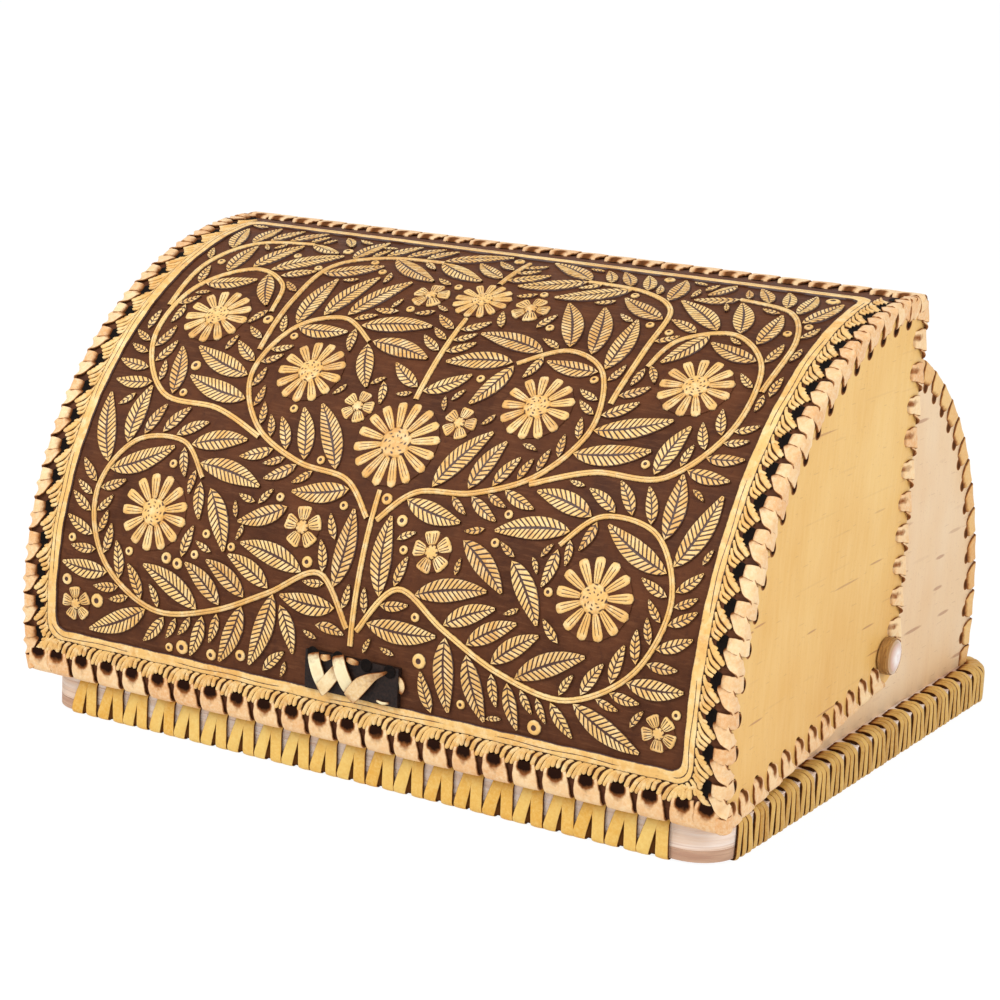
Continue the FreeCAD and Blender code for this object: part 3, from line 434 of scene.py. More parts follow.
# Strips of a group: place along the rim at the top and at the bottom, and width; then the fully stained strip
# that paints the shade in the gap under them
FRONT_GROUP = ((1.9, -4.5, 6.0), (3.9, 4.1, 6.0))
FRONT_SHADE_GAP = (2.9, -0.2, 3.4)
SIDE_GROUP = ((-1.9, -3.2, 3.9), (0.7, 1.6, 3.9), (3.3, 6.4, 3.9))
SIDE_SHADE_GAP = (1.0, 1.6, 12.4)
CORNER_STRIP = (0.0, 0.6, 4.7)
WRAP_THICKNESS, GAP_THICKNESS = 0.8, 0.3
GAP_DEPTH = 0.45
OVERLAP = 0.35                          # each strip of a group lies this much over the one before
RIM_TOP, RIM_FOOT = -1.0, -15.0         # heights over the board between which a strip lies on the rim's face
WRAP_CORE = 4.0                         # depth of the line that the strips turn about, from the rim's face
# Outward from the rim's face, height over the board, share of the lean, share of the width and stain, which
# is painted shade where the strip comes out of its hole
WRAP_ROWS = ((-9.0, -0.8, 0.0, 0.6, 1.0), (-8.0, 0.3, 0.0, 0.66, 0.85), (-6.0, 0.8, 0.05, 0.8, 0.2),
             (-3.4, 1.05, 0.15, 0.95, 0.0), (-1.2, 0.6, 0.25, 1.0, 0.0), (0.4, -1.0, 0.4, 1.0, 0.0),
             (0.8, -3.2, 0.5, 1.0, 0.0), (0.8, -8.3, 0.75, 1.0, 0.0), (0.75, -14.4, 1.0, 1.0, 0.0),
             (0.1, -15.85, 1.0, 1.0, 0.0), (-1.6, -16.02, 1.0, 1.0, 0.0), (-6.0, -16.02, 1.0, 0.8, 0.0),
             (-8.4, -15.7, 1.0, 0.6, 0.0))


def wrap_strip(pile, origin, out, face, middle, strip, tone, crown, sunk=0.0, lift=0.0):
    """One strip round the rim; a sunk one is a fully stained strip that paints the shade in the gap under its
    neighbours.
    """
    run = Vector((-out.y, out.x, 0))
    top, low, wide = strip
    top, low = top + vary(0.25), low + vary(0.3)
    knots = []
    for d, z, blend, w, s in WRAP_ROWS:
        across = middle + top + (low - top) * blend
        lower = sunk if z > RIM_TOP else -sunk if z < RIM_FOOT else 0.0
        raised = lift if z > RIM_TOP else 0.0
        reach = face + d - (sunk if z < 1 else 0) + (lift if RIM_FOOT < z < 0 else 0.0)
        point = origin + out * reach + run * across + Vector((0, 0, BASE_TOP + z - lower + raised))
        core = origin + out * (face - WRAP_CORE) + run * across + Vector((0, 0, BASE_TOP / 2))
        normal = point - core
        normal.z *= 0.6 if d > 0 else 4.0
        knots.append((point, normal.normalized(), wide * w + (0 if sunk else vary(0.15)), 1.0 if sunk else s))
    # cut edges darkened further here: painted shade lines between the strips
    ribbon(pile, knots, tone, GAP_THICKNESS if sunk else WRAP_THICKNESS, crown, edge_stain_and_shade=1.8)


def wrapping(where, edge, group, gap, material, crown, corner=False):
    """Strips around the rim: edge is the outward direction; corner adds single strips on the rear corner."""
    pile = Pile()
    origin = Vector((0, 0, 0))
    out = Vector(edge)
    run = Vector((-out.y, out.x, 0))
    face = BASE_HALF.x if abs(out.x) > 0.5 else BASE_HALF.y
    cad_node = "base_wrapping_" + where
    for place in sorted(place.dot(run) for place in islands(cad_node)):
        middle = place + vary(0.5)
        for i, strip in enumerate(group):
            wrap_strip(pile, origin, out, face, middle, strip, chance.random(), crown, lift=OVERLAP * i)
        wrap_strip(pile, origin, out, face, middle, gap, 1.0, 0.0, sunk=GAP_DEPTH)
    if corner:
        origin = Vector((math.copysign(BASE_HALF.x - CORNER_RADIUS, out.x), BASE_HALF.y - CORNER_RADIUS, 0))
        for turn in CORNER_TURNS:
            a = math.radians(turn)
            ray = Vector((math.copysign(math.cos(a), out.x), math.sin(a), 0))
            wrap_strip(pile, origin, ray, CORNER_RADIUS, 0.0, CORNER_STRIP, chance.random(), crown)
    pile.build(where + "_wraps", material, "body", "base_wrapping", cad_node)


# ------------------------------------------------------------------ materials
def rgb(red, green, blue):
    """Colour from 0 to 255 values as they look on a screen."""
    def linear(c):
        c /= 255
        return c / 12.92 if c <= 0.04045 else ((c + 0.055) / 1.055) ** 2.4
    return (linear(red), linear(green), linear(blue), 1.0)


def feed(tree, socket, value):
    """Link a socket to the one that feeds it, or give it a value."""
    if isinstance(value, bpy.types.NodeSocket):
        tree.links.new(value, socket)
    else:
        socket.default_value = value


def add_node(tree, kind, inputs=None, **settings):
    """New shader node, its inputs linked or set."""
    made = tree.nodes.new("ShaderNode" + kind)
    for key, value in settings.items():
        setattr(made, key, value)
    for key, value in (inputs or {}).items():
        feed(tree, made.inputs[key], value)
    return made


class Shader:
    """One procedural material, put together node by node."""

    def __init__(self, name, roughness, specular=0.4):
        self.material = bpy.data.materials.new(name)
        self.material.use_nodes = True
        self.tree = self.material.node_tree
        self.surface = self.tree.nodes["Principled BSDF"]
        self.set("Roughness", roughness)
        self.set("Specular IOR Level", specular)
        self.place = self.node("TexCoord").outputs["Object"]

    def set(self, socket, value):
        feed(self.tree, self.surface.inputs[socket], value)

    def node(self, kind, inputs=None, **settings):
        return add_node(self.tree, kind, inputs, **settings)

    def math(self, operation, a, b=0.0):
        return self.node("Math", {0: a, 1: b}, operation=operation).outputs[0]

    def vector_math(self, operation, a, b):
        return self.node("VectorMath", {0: a, 1: b}, operation=operation).outputs[0]

    def remap(self, value, low, high, new_low=0.0, new_high=1.0):
        return self.node("MapRange", {"Value": value, "From Min": low, "From Max": high,
                                      "To Min": new_low, "To Max": new_high}).outputs[0]

    def mix(self, factor, a, b):
        """Mix of two colours, each a socket or 0 to 255 values as they look on a screen."""
        a, b = (rgb(*colour) if isinstance(colour, tuple) else colour for colour in (a, b))
        return self.node("Mix", {0: factor, 6: a, 7: b}, data_type="RGBA").outputs[2]

    def over(self, colour, tint, value, low, high, most=1.0):
        """A colour with another laid over it as a value goes from low to high."""
        return self.mix(self.remap(value, low, high, 0.0, most), colour, tint)

    def noise(self, x, y, z, detail=3.0, roughness=0.55):
        """Noise with so many features to a metre along each axis."""
        place = self.vector_math("MULTIPLY", self.place, (x, y, z))
        return self.node("TexNoise", {"Vector": place, "Scale": 1.0, "Detail": detail,
                                      "Roughness": roughness}).outputs["Fac"]

    def grain(self, scale, detail=3.0, roughness=0.55):
        """Noise that is alike along every axis."""
        return self.noise(scale, scale, scale, detail, roughness)

    def attribute(self, name):
        return self.node("Attribute", attribute_name=name, attribute_type="GEOMETRY").outputs["Fac"]

    def split(self, vector):
        return self.node("SeparateXYZ", {0: vector}).outputs[0:3]

    def dashes(self, along, across, spacing, length, thickness, seed=0.0):
        """Bark pores: thin dashes of varied length, one in each cell of a Voronoi pattern."""
        scaled = self.node("CombineXYZ", {0: self.math("DIVIDE", along, spacing[0]),
                                          1: self.math("DIVIDE", across, spacing[1])}).outputs[0]
        shifted = self.vector_math("ADD", scaled, (seed, seed * 0.7, 0))
        cells = self.node("TexVoronoi", {"Vector": shifted, "Scale": 1.0}, voronoi_dimensions="2D").outputs
        x, y = self.split(self.vector_math("SUBTRACT", shifted, cells["Position"]))[:2]
        lot = self.node("SeparateColor", {0: cells["Color"]}).outputs
        reach = self.math("DIVIDE", self.math("MULTIPLY", x, spacing[0] / length),
                          self.remap(lot[0], 0.0, 1.0, 0.25, 1.0))
        drop = self.math("MULTIPLY", y, spacing[1] / thickness)
        gauge = self.math("ADD", self.math("MULTIPLY", reach, reach), self.math("MULTIPLY", drop, drop))
        return self.math("MULTIPLY", self.remap(gauge, 0.35, 1.0, 1.0, 0.0),
                         self.remap(lot[1], 0.3, 0.7, 0.15, 1.0))

    def paint(self, colour, *coats):
        """Colour under coats, each a tint and a value that brings it on: from low to high, up to its most."""
        for coat in coats:
            colour = self.over(colour, *coat)
        self.set("Base Color", colour)

    def bump(self, height, distance, strength=1.0):
        made = self.node("Bump", {"Height": height, "Distance": distance, "Strength": strength})
        self.set("Normal", made.outputs[0])


PORES = (0.062, 0.0145)                 # spacing along and across, in metres
FINE_PORES = (0.021, 0.0062)
FINE_PORE_SIZE = (0.0042, 0.00022)


def bark(name, base, warm, pore, along="y", seed=0.0, pore_size=(0.014, 0.001)):
    """Peeled bark: soft blotches, faint fibres across the pores, and thin pore dashes."""
    s = Shader(name, 0.5)
    x, y, z = s.split(s.place)
    run, rise = y, z
    if along == "floor":
        run, rise = x, y
    elif along == "arch":
        turn = s.math("ARCTAN2", s.math("SUBTRACT", z, BODY_AXIS[1] * MM),
                      s.math("SUBTRACT", y, BODY_AXIS[0] * MM))
        run, rise = x, s.math("MULTIPLY", turn, BODY_RADIUS * MM)
    fibres = s.noise(500, 500, 55, 4) if along == "y" else s.noise(60, 900, 900, 4)
    blotch = s.remap(s.noise(14, 14, 9), 0.32, 0.68)
    colour = s.mix(blotch, base, warm)
    colour = s.mix(s.math("MULTIPLY", s.remap(fibres, 0.35, 0.7), 0.12), colour, (255, 230, 180))
    broad = s.dashes(run, rise, PORES, *pore_size, seed)
    fine = s.dashes(run, rise, FINE_PORES, *FINE_PORE_SIZE, seed + 3.1)
    pores = s.math("MAXIMUM", broad, s.math("MULTIPLY", fine, 0.45))
    s.paint(s.mix(s.math("MULTIPLY", pores, 0.6), colour, pore), (pore, s.grain(900, 2), 0.62, 0.8, 0.35))
    s.set("Roughness", s.remap(blotch, 0.0, 1.0, 0.44, 0.58))
    s.bump(s.math("SUBTRACT", s.math("MULTIPLY", fibres, 0.35), s.math("MULTIPLY", pores, 0.8)), 0.0004, 0.5)
    return s.material


def strip_material(name, base, warm, dark, fibre=(255, 240, 205)):
    """Cut bark strip: tone by piece, fibres, a little speckle and a dark stain with painted shade where it
    leaves its hole.
    """
    s = Shader(name, 0.48)
    stain_and_shade = s.attribute("stain_and_shade")
    fibres = s.grain(650, 5, 0.7)
    mottled_stain_and_shade = s.math("ADD", stain_and_shade, s.remap(s.grain(420), 0.3, 0.7, -0.12, 0.12))
    # the brown and dark coats over the stain are a stain and painted shade where a strip leaves its hole
    s.paint(base, (warm, s.attribute("tone"), 0.0, 1.0), (fibre, fibres, 0.38, 0.72, 0.5),
            (warm, s.grain(120), 0.5, 0.78, 0.5), ((150, 92, 50), mottled_stain_and_shade, 0.1, 0.5),
            (dark, mottled_stain_and_shade, 0.45, 0.9))
    s.set("Roughness", s.remap(stain_and_shade, 0.0, 0.6, 0.48, 0.95))
    s.set("Specular IOR Level", s.remap(stain_and_shade, 0.0, 0.6, 0.35, 0.03))
    s.bump(fibres, 0.0003, 0.5)
    return s.material


def stained_ground():
    """Dark stained bark between the carved motifs."""
    s = Shader("stained_bark", 0.7, 0.08)
    cloud = s.remap(s.grain(55, 4), 0.3, 0.7)
    fibres = s.noise(90, 700, 700, 4, 0.7)
    s.paint(s.mix(cloud, (74, 42, 26), (100, 59, 37)), ((126, 82, 54), fibres, 0.5, 0.75, 0.5),
            ((58, 32, 26), s.grain(320), 0.55, 0.8, 0.6))
    s.set("Roughness", s.remap(cloud, 0.0, 1.0, 0.52, 0.7))
    s.bump(fibres, 0.0003, 0.6)
    return s.material


def carved_gold():
    """Light carved bark with dark grooves, and painted shade where the motifs sink into the ground."""
    s = Shader("carved_bark_gold", 0.46)
    ragged = s.remap(s.grain(800, 2), 0.3, 0.7, -0.18, 0.18)
    s.paint((244, 204, 130), ((230, 174, 92), s.grain(45), 0.3, 0.7),
            ((208, 150, 76), s.attribute("tone"), 0.5, 1.0, 0.5),
            ((252, 226, 172), s.grain(210, 4, 0.65), 0.46, 0.7, 0.75),
            ((204, 140, 70), s.grain(150), 0.56, 0.74, 0.5),
            ((176, 122, 66), s.grain(520, 2), 0.64, 0.76, 0.45),
            # the stain darkens knife cuts and paints the shade at the foot of each motif
            ((70, 38, 26), s.math("ADD", s.attribute("stain_and_shade"), ragged), 0.25, 0.7))
    s.bump(s.grain(500), 0.0003, 0.4)
    return s.material


def layered(name, light, dark, line):
    """Edge of stacked bark: thin level layers with a few dark lines."""
    s = Shader(name, 0.6, 0.25)
    layers = s.noise(9, 9, 1500, 3, 0.7)
    broad = s.noise(30, 30, 420)
    s.paint(light, (dark, broad, 0.35, 0.65), (line, layers, 0.56, 0.7, 0.75))
    s.bump(s.math("ADD", layers, broad), 0.0006, 0.7)
    return s.material


def pearl():
    """Pearly dome, rosy towards its foot, on a tan ring."""
    s = Shader("pearl", 0.16, 0.6)
    s.set("Coat Weight", 0.6)
    s.set("Coat Roughness", 0.06)
    y, z = s.split(s.place)[1:]
    off_y, off_z = s.math("SUBTRACT", y, PIVOT.y * MM), s.math("SUBTRACT", z, PIVOT.z * MM)
    reach = s.math("SQRT", s.math("ADD", s.math("MULTIPLY", off_y, off_y), s.math("MULTIPLY", off_z, off_z)))
    s.paint((246, 236, 230), ((228, 196, 188), s.grain(160, 2), 0.35, 0.65),
            ((206, 158, 132), reach, 0.0024, 0.006), ((186, 142, 92), reach, 0.0062, 0.0066))
    s.bump(s.grain(300, 2), 0.0001, 0.2)
    return s.material


def turned_disc():
    """Thick bark disc at the pivot: tan sides with fine layers."""
    s = Shader("pivot_bark", 0.55, 0.3)
    layers = s.noise(1300, 160, 160, 4, 0.7)
    s.paint((196, 152, 88), ((146, 102, 56), layers, 0.35, 0.65),
            ((104, 70, 40), s.grain(600, 2), 0.55, 0.75, 0.6))
    s.bump(layers, 0.0004, 0.6)
    return s.material


def blotched(name, roughness, specular, light, dark, blots, pits, depth, strength, metallic=0.0):
    """Two colours in soft blotches over small pits, both noises given by scale and detail."""
    s = Shader(name, roughness, specular)
    s.set("Metallic", metallic)
    s.paint(light, (dark, s.grain(*blots), 0.3, 0.7))
    s.bump(s.grain(*pits), depth, strength)
    return s.material


GOLDEN = ((236, 192, 112), (226, 174, 92), (168, 108, 70))
CREAM = ((238, 210, 174), (230, 188, 138), (160, 104, 74))
INNER = ((226, 180, 122), (208, 158, 100), (150, 98, 62))
# the dark colour of each strip finish is for its stain and the painted shade at its holes
lid_strip = strip_material("lid_lacing_bark", (245, 208, 154), (228, 168, 106), (38, 20, 13))
body_strip = strip_material("body_lacing_bark", (236, 190, 118), (222, 160, 88), (84, 50, 28),
                            fibre=(248, 216, 152))
pale_wrap = strip_material("pale_wrapping_bark", (234, 196, 108), (226, 168, 64), (84, 50, 22),
                           fibre=(248, 222, 142))
deep_wrap = strip_material("deep_wrapping_bark", (220, 176, 94), (190, 138, 56), (74, 44, 22),
                           fibre=(240, 204, 122))
tab_strip = strip_material("tab_strip_bark", (244, 230, 184), (216, 156, 78), (60, 38, 24))
STRIPS = {"lid": lid_strip, "body": body_strip}
gold = carved_gold()
brass = blotched("pin_brass", 0.34, 0.5, (196, 164, 98), (150, 118, 66), (200, 3), (900, 2), 0.0001, 0.3,
                 metallic=1.0)
leather = blotched("tab_dark", 0.42, 0.18, (18, 12, 10), (46, 30, 24), (700, 4), (700, 4), 0.0005, 0.5)
# near-black finish for patches that paint the shade inside holes
painted_hole_shade = blotched("painted_hole_shade", 0.8, 0.1, (12, 8, 6), (24, 15, 12), (900, 2), (600, 2), 0.0002, 0.3)


def dress(material, *nodes):
    """Give CAD nodes a finish."""
    for node in nodes:
        slots = frame["nodes"][node].material_slots
        for entry in slots:
            entry.material = material
        if not slots:
            frame["nodes"][node].data.materials.append(material)


def both(name):
    return name + "_left", name + "_right"


dress(bark("lid_side_bark", *GOLDEN, seed=1.3, pore_size=(0.024, 0.00055)), *both("lid_side"))
dress(bark("body_side_bark", *CREAM, seed=4.7), *both("body_side"))
dress(bark("back_panel_bark", *CREAM, along="arch", seed=7.9), "body_back_panel")
dress(bark("lining_bark", *INNER, along="arch", seed=2.2), "body_back_lining", "lid_front_lining")
dress(bark("floor_bark", *INNER, along="floor", seed=4.4), "base_floor_sheet")
dress(bark("side_lining_bark", *INNER, seed=6.1), *both("body_side_lining"), *both("lid_side_lining"))
dress(layered("base_board_edge", (248, 232, 220), (236, 208, 184), (190, 140, 112)), "base_board")
dress(layered("base_strata", (214, 178, 150), (186, 146, 122), (108, 70, 56)), "base_lower_layer")
dress(stained_ground(), "lid_front_sheet")
dress(pearl(), *both("pivot_cap"))
dress(brass, *both("pivot_pin"))
dress(turned_disc(), *both("pivot_disc"), *both("pivot_spacer"), *both("pivot_inner_washer"))
dress(leather, "pull_tab")

# ------------------------------------------------------------------ lacing of the whole box
PIVOT_ROUNDING = 14.5                   # of the lid's sides about the pivot
LID_CORNER_STRIP = 10.8                 # past the last holes of the lid's straight edges


def touch_point(corner, sign):
    """Where a straight edge of the lid's side meets the rounding at the pivot."""
    dy, dz = PIVOT.y - corner.y, PIVOT.z - corner.z
    turn = math.atan2(-dz, -dy) + sign * math.acos(PIVOT_ROUNDING / math.hypot(dy, dz))
    return Vector((0, PIVOT.y + PIVOT_ROUNDING * math.cos(turn),
                   PIVOT.z + PIVOT_ROUNDING * math.sin(turn)))


top_corner, front_corner = (lid_arch.at(0, LID_RADIUS - LID_BARK, angle) for angle in (LID_HIGH, LID_LOW))
for side, hand in ((1, "right"), (-1, "left")):
    seam_lacing("seam_strips_" + hand, "lid", side, "lid_lacing_arch_" + hand)
    seam_lacing("body_seam_strips_" + hand, "body", side, "body_lacing_arch_" + hand)
    for edge, corner, sign, shade in (("rear", top_corner, -1, 0.45), ("foot", front_corner, 1, 0.66)):
        wall_edge_lacing("%s_edge_strips_%s" % (edge, hand), side, "lid_lacing_%s_%s" % (edge, hand), corner,
                         touch_point(corner, sign), shade)
    round_edge_lacing("round_edge_strips_" + hand, side, "body_lacing_front_" + hand)
for edge, angle, sign in (("lower", LID_LOW, -1), ("upper", LID_HIGH, 1)):
    sheet_edge_lacing(edge + "_edge_strips", "lid", angle, sign, "lid_lacing_%s_edge" % edge, LID_THICKNESS,
                      LID_CORNER_STRIP)
sheet_edge_lacing("body_top_strips", "body", BODY_FRONT, -1, "body_lacing_top", WALL_THICKNESS)
for where, y in (("front", -1), ("rear", 1)):
    wrapping(where, (0, y, 0), FRONT_GROUP, FRONT_SHADE_GAP, pale_wrap, crown=0.25)
for where, x in (("right", 1), ("left", -1)):
    wrapping(where, (x, 0, 0), SIDE_GROUP, SIDE_SHADE_GAP, deep_wrap, crown=0.5, corner=True)


# ------------------------------------------------------------------ carved relief on the lid
ARC = (LID_HIGH - LID_LOW) * LID_RADIUS                # length of the front sheet along its arch
BAND_SIDE, BAND_BOTTOM, BAND_TOP, BAND_WIDTH = 13.4, 17.0, 24.0, 5.0
BAND_CORNER, BAND_INNER_CORNER = 8.0, 6.0
BAND_HALF, BAND_LOW, BAND_HIGH = LID_HALF - BAND_SIDE, BAND_BOTTOM, ARC - BAND_TOP   # outline of the band
PANEL_LOW = BAND_LOW + BAND_WIDTH
TAB_LEFT, TAB_RIGHT, TAB_TOP = -21.0, 26.5, PANEL_LOW + 17.3
TAB_SKIN = 2.6                          # height of the tab's outer face
TAB_FOOT = PANEL_LOW + 0.3
RELIEF = 0.95                           # height of the carved motifs
SUNK = -0.25                            # their edges end below the ground, where their stain is painted shade
GROOVE = 0.27                           # depth of a knife cut
LARGE_FLOWER, LARGEST_FLOWER = 12, 18   # radii above which a flower has 13 and 16 petals


def on_lid(flat, height):
    """Point of the lid at a flat place (across, and up the arch from the lower edge)."""
    return lid_arch.at(flat.real, LID_RADIUS + height, LID_LOW + flat.imag / LID_RADIUS)


def lid_oval(pile, middle, across, along, rings, sectors=18):
    """Patch of rings about a flat place of the lid."""
    def point_at(x, up, height):
        return on_lid(middle + complex(x, up), height)
    oval(pile, point_at, across, along, rings, sectors)


def unit(step):
    return step / abs(step)


def curve(knots, steps=4):
    """Catmull-Rom curve through flat knots."""
    return [p[0] for p in smooth_path([(knot,) for knot in knots], steps)]


def mirrored(half, *middle):
    """Columns of points from one edge over the middle to the other, from those of one half."""
    return [(-v, *rest) for v, *rest in half] + [*middle] + list(reversed(half))


# Drawing of the carving; its stems, flowers and long leaves lie over the low forms of the front sheet.
DRAWN_HALF, DRAWN_LOW, DRAWN_HIGH = 160.6, 22.0, 270.8
MIDDLE_HALF = 24.0                      # of the middle piece; the side pieces have the rest
FORM_GAP = 0.6                          # bare ground around a leaf
STEM_ROOM = 1.4                         # half of the lane that a stem keeps free
SCROLL_STEMS = (                        # right half; the left half mirrors them
    ((2.5, 51), (20, 72), (45, 59), (74, 46), (106, 41), (135, 58), (146, 88), (133, 114), (107, 118),
     (91, 103)),
    ((2.5, 99), (18, 114), (45, 118), (72, 131), (87, 156), (79, 185), (58, 195), (38, 183)),
    ((69, 126), (96, 136), (128, 139), (148, 166), (146, 201), (125, 221), (103, 212), (97, 192)),
    ((90, 169), (91, 201), (88, 233), (67, 248), (38, 251)),
    ((152, 187), (152.5, 221), (139, 246), (112, 253)),
)
TRUNK_FOOT, TRUNK_TOP, TRUNK_GAP, TRUNK_PIECE = 44.0, 264.0, 1.0, 7.0
SIDE_FLOWERS = ((112, 84, 18), (58, 162, 17), (123, 185, 17), (33, 90, 9.5), (26, 148, 8), (26, 219, 9),
                (149, 36, 8))           # across, up and radius
MIDDLE_FLOWERS = ((0, 134, 21), (0, 221, 14))
LONG_LEAVES = (35, 32, 29, 26)
SHORT_LEAVES = (23, 20, 17, 14, 11)
LOOSE_LEAVES = (30, 26, 22, 18, 15, 12, 9.5, 7.5)
LEAF_LEANS = (0.9, 1.15, 0.65)
LEAF_WIDTH, LEAF_WIDEST = 0.335, 10.4   # width as a share of the length, and at most
LEAF_BEND = 0.35
BUD_RADII = (3.4, 2.7, 2.1)
ATTEMPTS = 2400                         # places tried for each size of loose leaf or bud


class Ground:
    """Square millimetres of the drawn panel that are taken."""

    def __init__(self):
        self.taken = set()

    def free(self, places):
        return all(abs(p.real) < DRAWN_HALF - 1 and DRAWN_LOW + 1 < p.imag < DRAWN_HIGH - 1
                   and (round(p.real), round(p.imag)) not in self.taken for p in places)

    def take(self, places):
        self.taken.update((round(p.real), round(p.imag)) for p in places)

    def claim(self, places):
        """Take the places if all of them are free, and say whether they were."""
        free = self.free(places)
        if free:
            self.take(places)
        return free

    def take_disc(self, middle, radius):
        reach = range(-math.ceil(radius), math.ceil(radius) + 1)
        self.take([middle + complex(i, j) for i in reach for j in reach if i * i + j * j <= radius * radius])

    def take_lane(self, path):
        for a, b in zip(path, path[1:]):
            pieces = math.ceil(abs(b - a))
            for i in range(pieces + 1):
                self.take_disc(a + (b - a) * i / pieces, STEM_ROOM)


class Leaf:
    """A pointed leaf. Its midrib bends back to the line of its stem; hand is its side of the stem: 1 on the
    left, -1 on the right and 0 on the tip."""

    def __init__(self, foot, turn, length, hand):
        self.foot = foot
        self.turn = turn
        self.length = length
        self.width = min(LEAF_WIDEST, length * LEAF_WIDTH)
        self.bend = -hand * LEAF_BEND

    def half(self, t):
        return self.width / 2 * math.sin(math.pi * t ** 0.85) ** 0.85 if 0 < t < 1 else 0.0

    def rib(self, t):
        return self.foot + cmath.rect(self.length * t, self.turn) * complex(1, self.bend * t / 2)

    def across(self, t, reach):
        return cmath.rect(reach, self.turn + self.bend * t + math.pi / 2)

    def places(self):
        """Spread places of the leaf and of the bare ground around it."""
        found = []
        for i in range(1, round(self.length) + 1):
            t = min(1.0, i / self.length)
            side = self.across(t, self.half(t) + FORM_GAP)
            found += [self.rib(t) + side * k for k in (-1, -0.5, 0, 0.5, 1)]
        return found


def longest_leaf(place, ahead, hand, ground, lengths, leans=LEAF_LEANS, stalk=2.0):
    """The longest leaf that the ground beside a stem allows, in a list that is otherwise empty."""
    for length in lengths:
        for lean in leans:
            turn = ahead + hand * lean
            leaf = Leaf(place + cmath.rect(stalk, turn), turn, length, hand)
            if ground.claim(leaf.places()):
                return [leaf]
    return []


def leaves_along(path, ground, lengths, pitch):
    """Leaves on both sides of a stem, each the longest that its place allows."""
    found = []
    walked = 0.0
    last = {1: 0.0, -1: -pitch / 2}
    for a, b in zip(path, path[1:]):
        pieces = max(1, round(abs(b - a) / 2.0))
        for i in range(pieces):
            walked += abs(b - a) / pieces
            place = a + (b - a) * (i + 1) / pieces
            for hand in (1, -1):
                if walked - last[hand] >= pitch:
                    leaf = longest_leaf(place, cmath.phase(b - a), hand, ground, lengths)
                    found += leaf
                    if leaf:
                        last[hand] = walked
    return found


def anywhere():
    """A place on the drawn panel."""
    return complex(chance.uniform(-DRAWN_HALF, DRAWN_HALF), chance.uniform(DRAWN_LOW, DRAWN_HIGH))


def loose_leaves(ground):
    """Leaves beside no stem, where the ground is still bare, the long ones first."""
    tried = (Leaf(anywhere(), chance.uniform(0, 2 * math.pi), length, 1)
             for length in LOOSE_LEAVES for attempt in range(ATTEMPTS))
    return [leaf for leaf in tried if ground.claim(leaf.places())]


# Single round bud with a dark eye, from its rim to its middle: share of the radius, height and stain; the
# stain at its sunk rim is painted shade
BUD = ((1.0, SUNK, 0.9), (0.9, 0.6, 0.2), (0.72, 0.85, 0.0), (0.42, RELIEF, 0.0),
       (0.34, RELIEF - GROOVE, 0.9), (0.2, 0.6, 1.0), (0.02, 0.55, 1.0))


def carve_buds(pile_at, ground):
    """Buds where the leaves left bare ground."""
    for radius in BUD_RADII:
        reach = range(-4, 5)
        disc = [complex(i, j) for i in reach for j in reach if abs(complex(i, j)) < radius + 0.4]
        for attempt in range(ATTEMPTS):
            middle = anywhere()
            if ground.claim([middle + p for p in disc]):
                lid_oval(pile_at(middle), middle, radius, radius, BUD)


# Half of a leaf from its edge to its midrib: share of the half width, height, stain (painted shade at the
# sunk edge, a dark knife cut at the midrib), and cut by the veins
LEAF_COLUMNS = ((1.0, SUNK, 1.0, 0), (0.95, 0.7, 0.6, 0), (0.88, 0.88, 0.0, 0.7), (0.8, RELIEF, 0.0, 1),
                (0.16, RELIEF, 0.0, 1), (0.06, RELIEF - GROOVE, 1.0, 1))
VEIN_ROWS = ((0.0, 0), (0.54, 0), (0.66, 1), (0.88, 1))     # share of the pitch, and cut
VEIN_PITCH = 2.4


def carve_leaf(pile, leaf):
    """A leaf with a dark midrib and herringbone veins; its rows of points follow the veins."""
    count = max(4, round(leaf.length / VEIN_PITCH))
    rows = []
    for row in range(count * len(VEIN_ROWS) + 1):
        share, vein = VEIN_ROWS[row % len(VEIN_ROWS)]
        start = (row // len(VEIN_ROWS) + share) / count
        line = []
        for v, h, stain_and_shade, crossed in mirrored(LEAF_COLUMNS):
            t = min(1.0, start * 0.97 + abs(v) * leaf.half(start) * 0.8 / leaf.length)
            cut = vein * crossed if 0.05 < t < 0.95 else 0
            flat = leaf.rib(t) + leaf.across(t, v * leaf.half(t))
            line.append((on_lid(flat, min(h, RELIEF - GROOVE) if cut else h), max(stain_and_shade, cut)))
        rows.append(line)
    pile.grid(rows, chance.random())


def ridge(pile, path, widths, height=RELIEF, line=False):
    """A rounded carved stroke along flat points, with a width at each; line cuts a groove along it."""
    middle = (0, height - GROOVE, 0.9) if line else (0, height, 0.0)
    # the stain at the sunk foot of the stroke is painted shade
    columns = mirrored(((1, SUNK, 0.9), (0.8, height * 0.8, 0), (0.12, height, 0)), middle)
    rows = []
    for i, place in enumerate(path):
        side = unit(path[min(i + 1, len(path) - 1)] - path[max(i - 1, 0)]) * 1j
        rows.append([(on_lid(place + side * (v * widths[i] / 2), h), stain_and_shade) for v, h, stain_and_shade in columns])
    pile.grid(rows, chance.random())


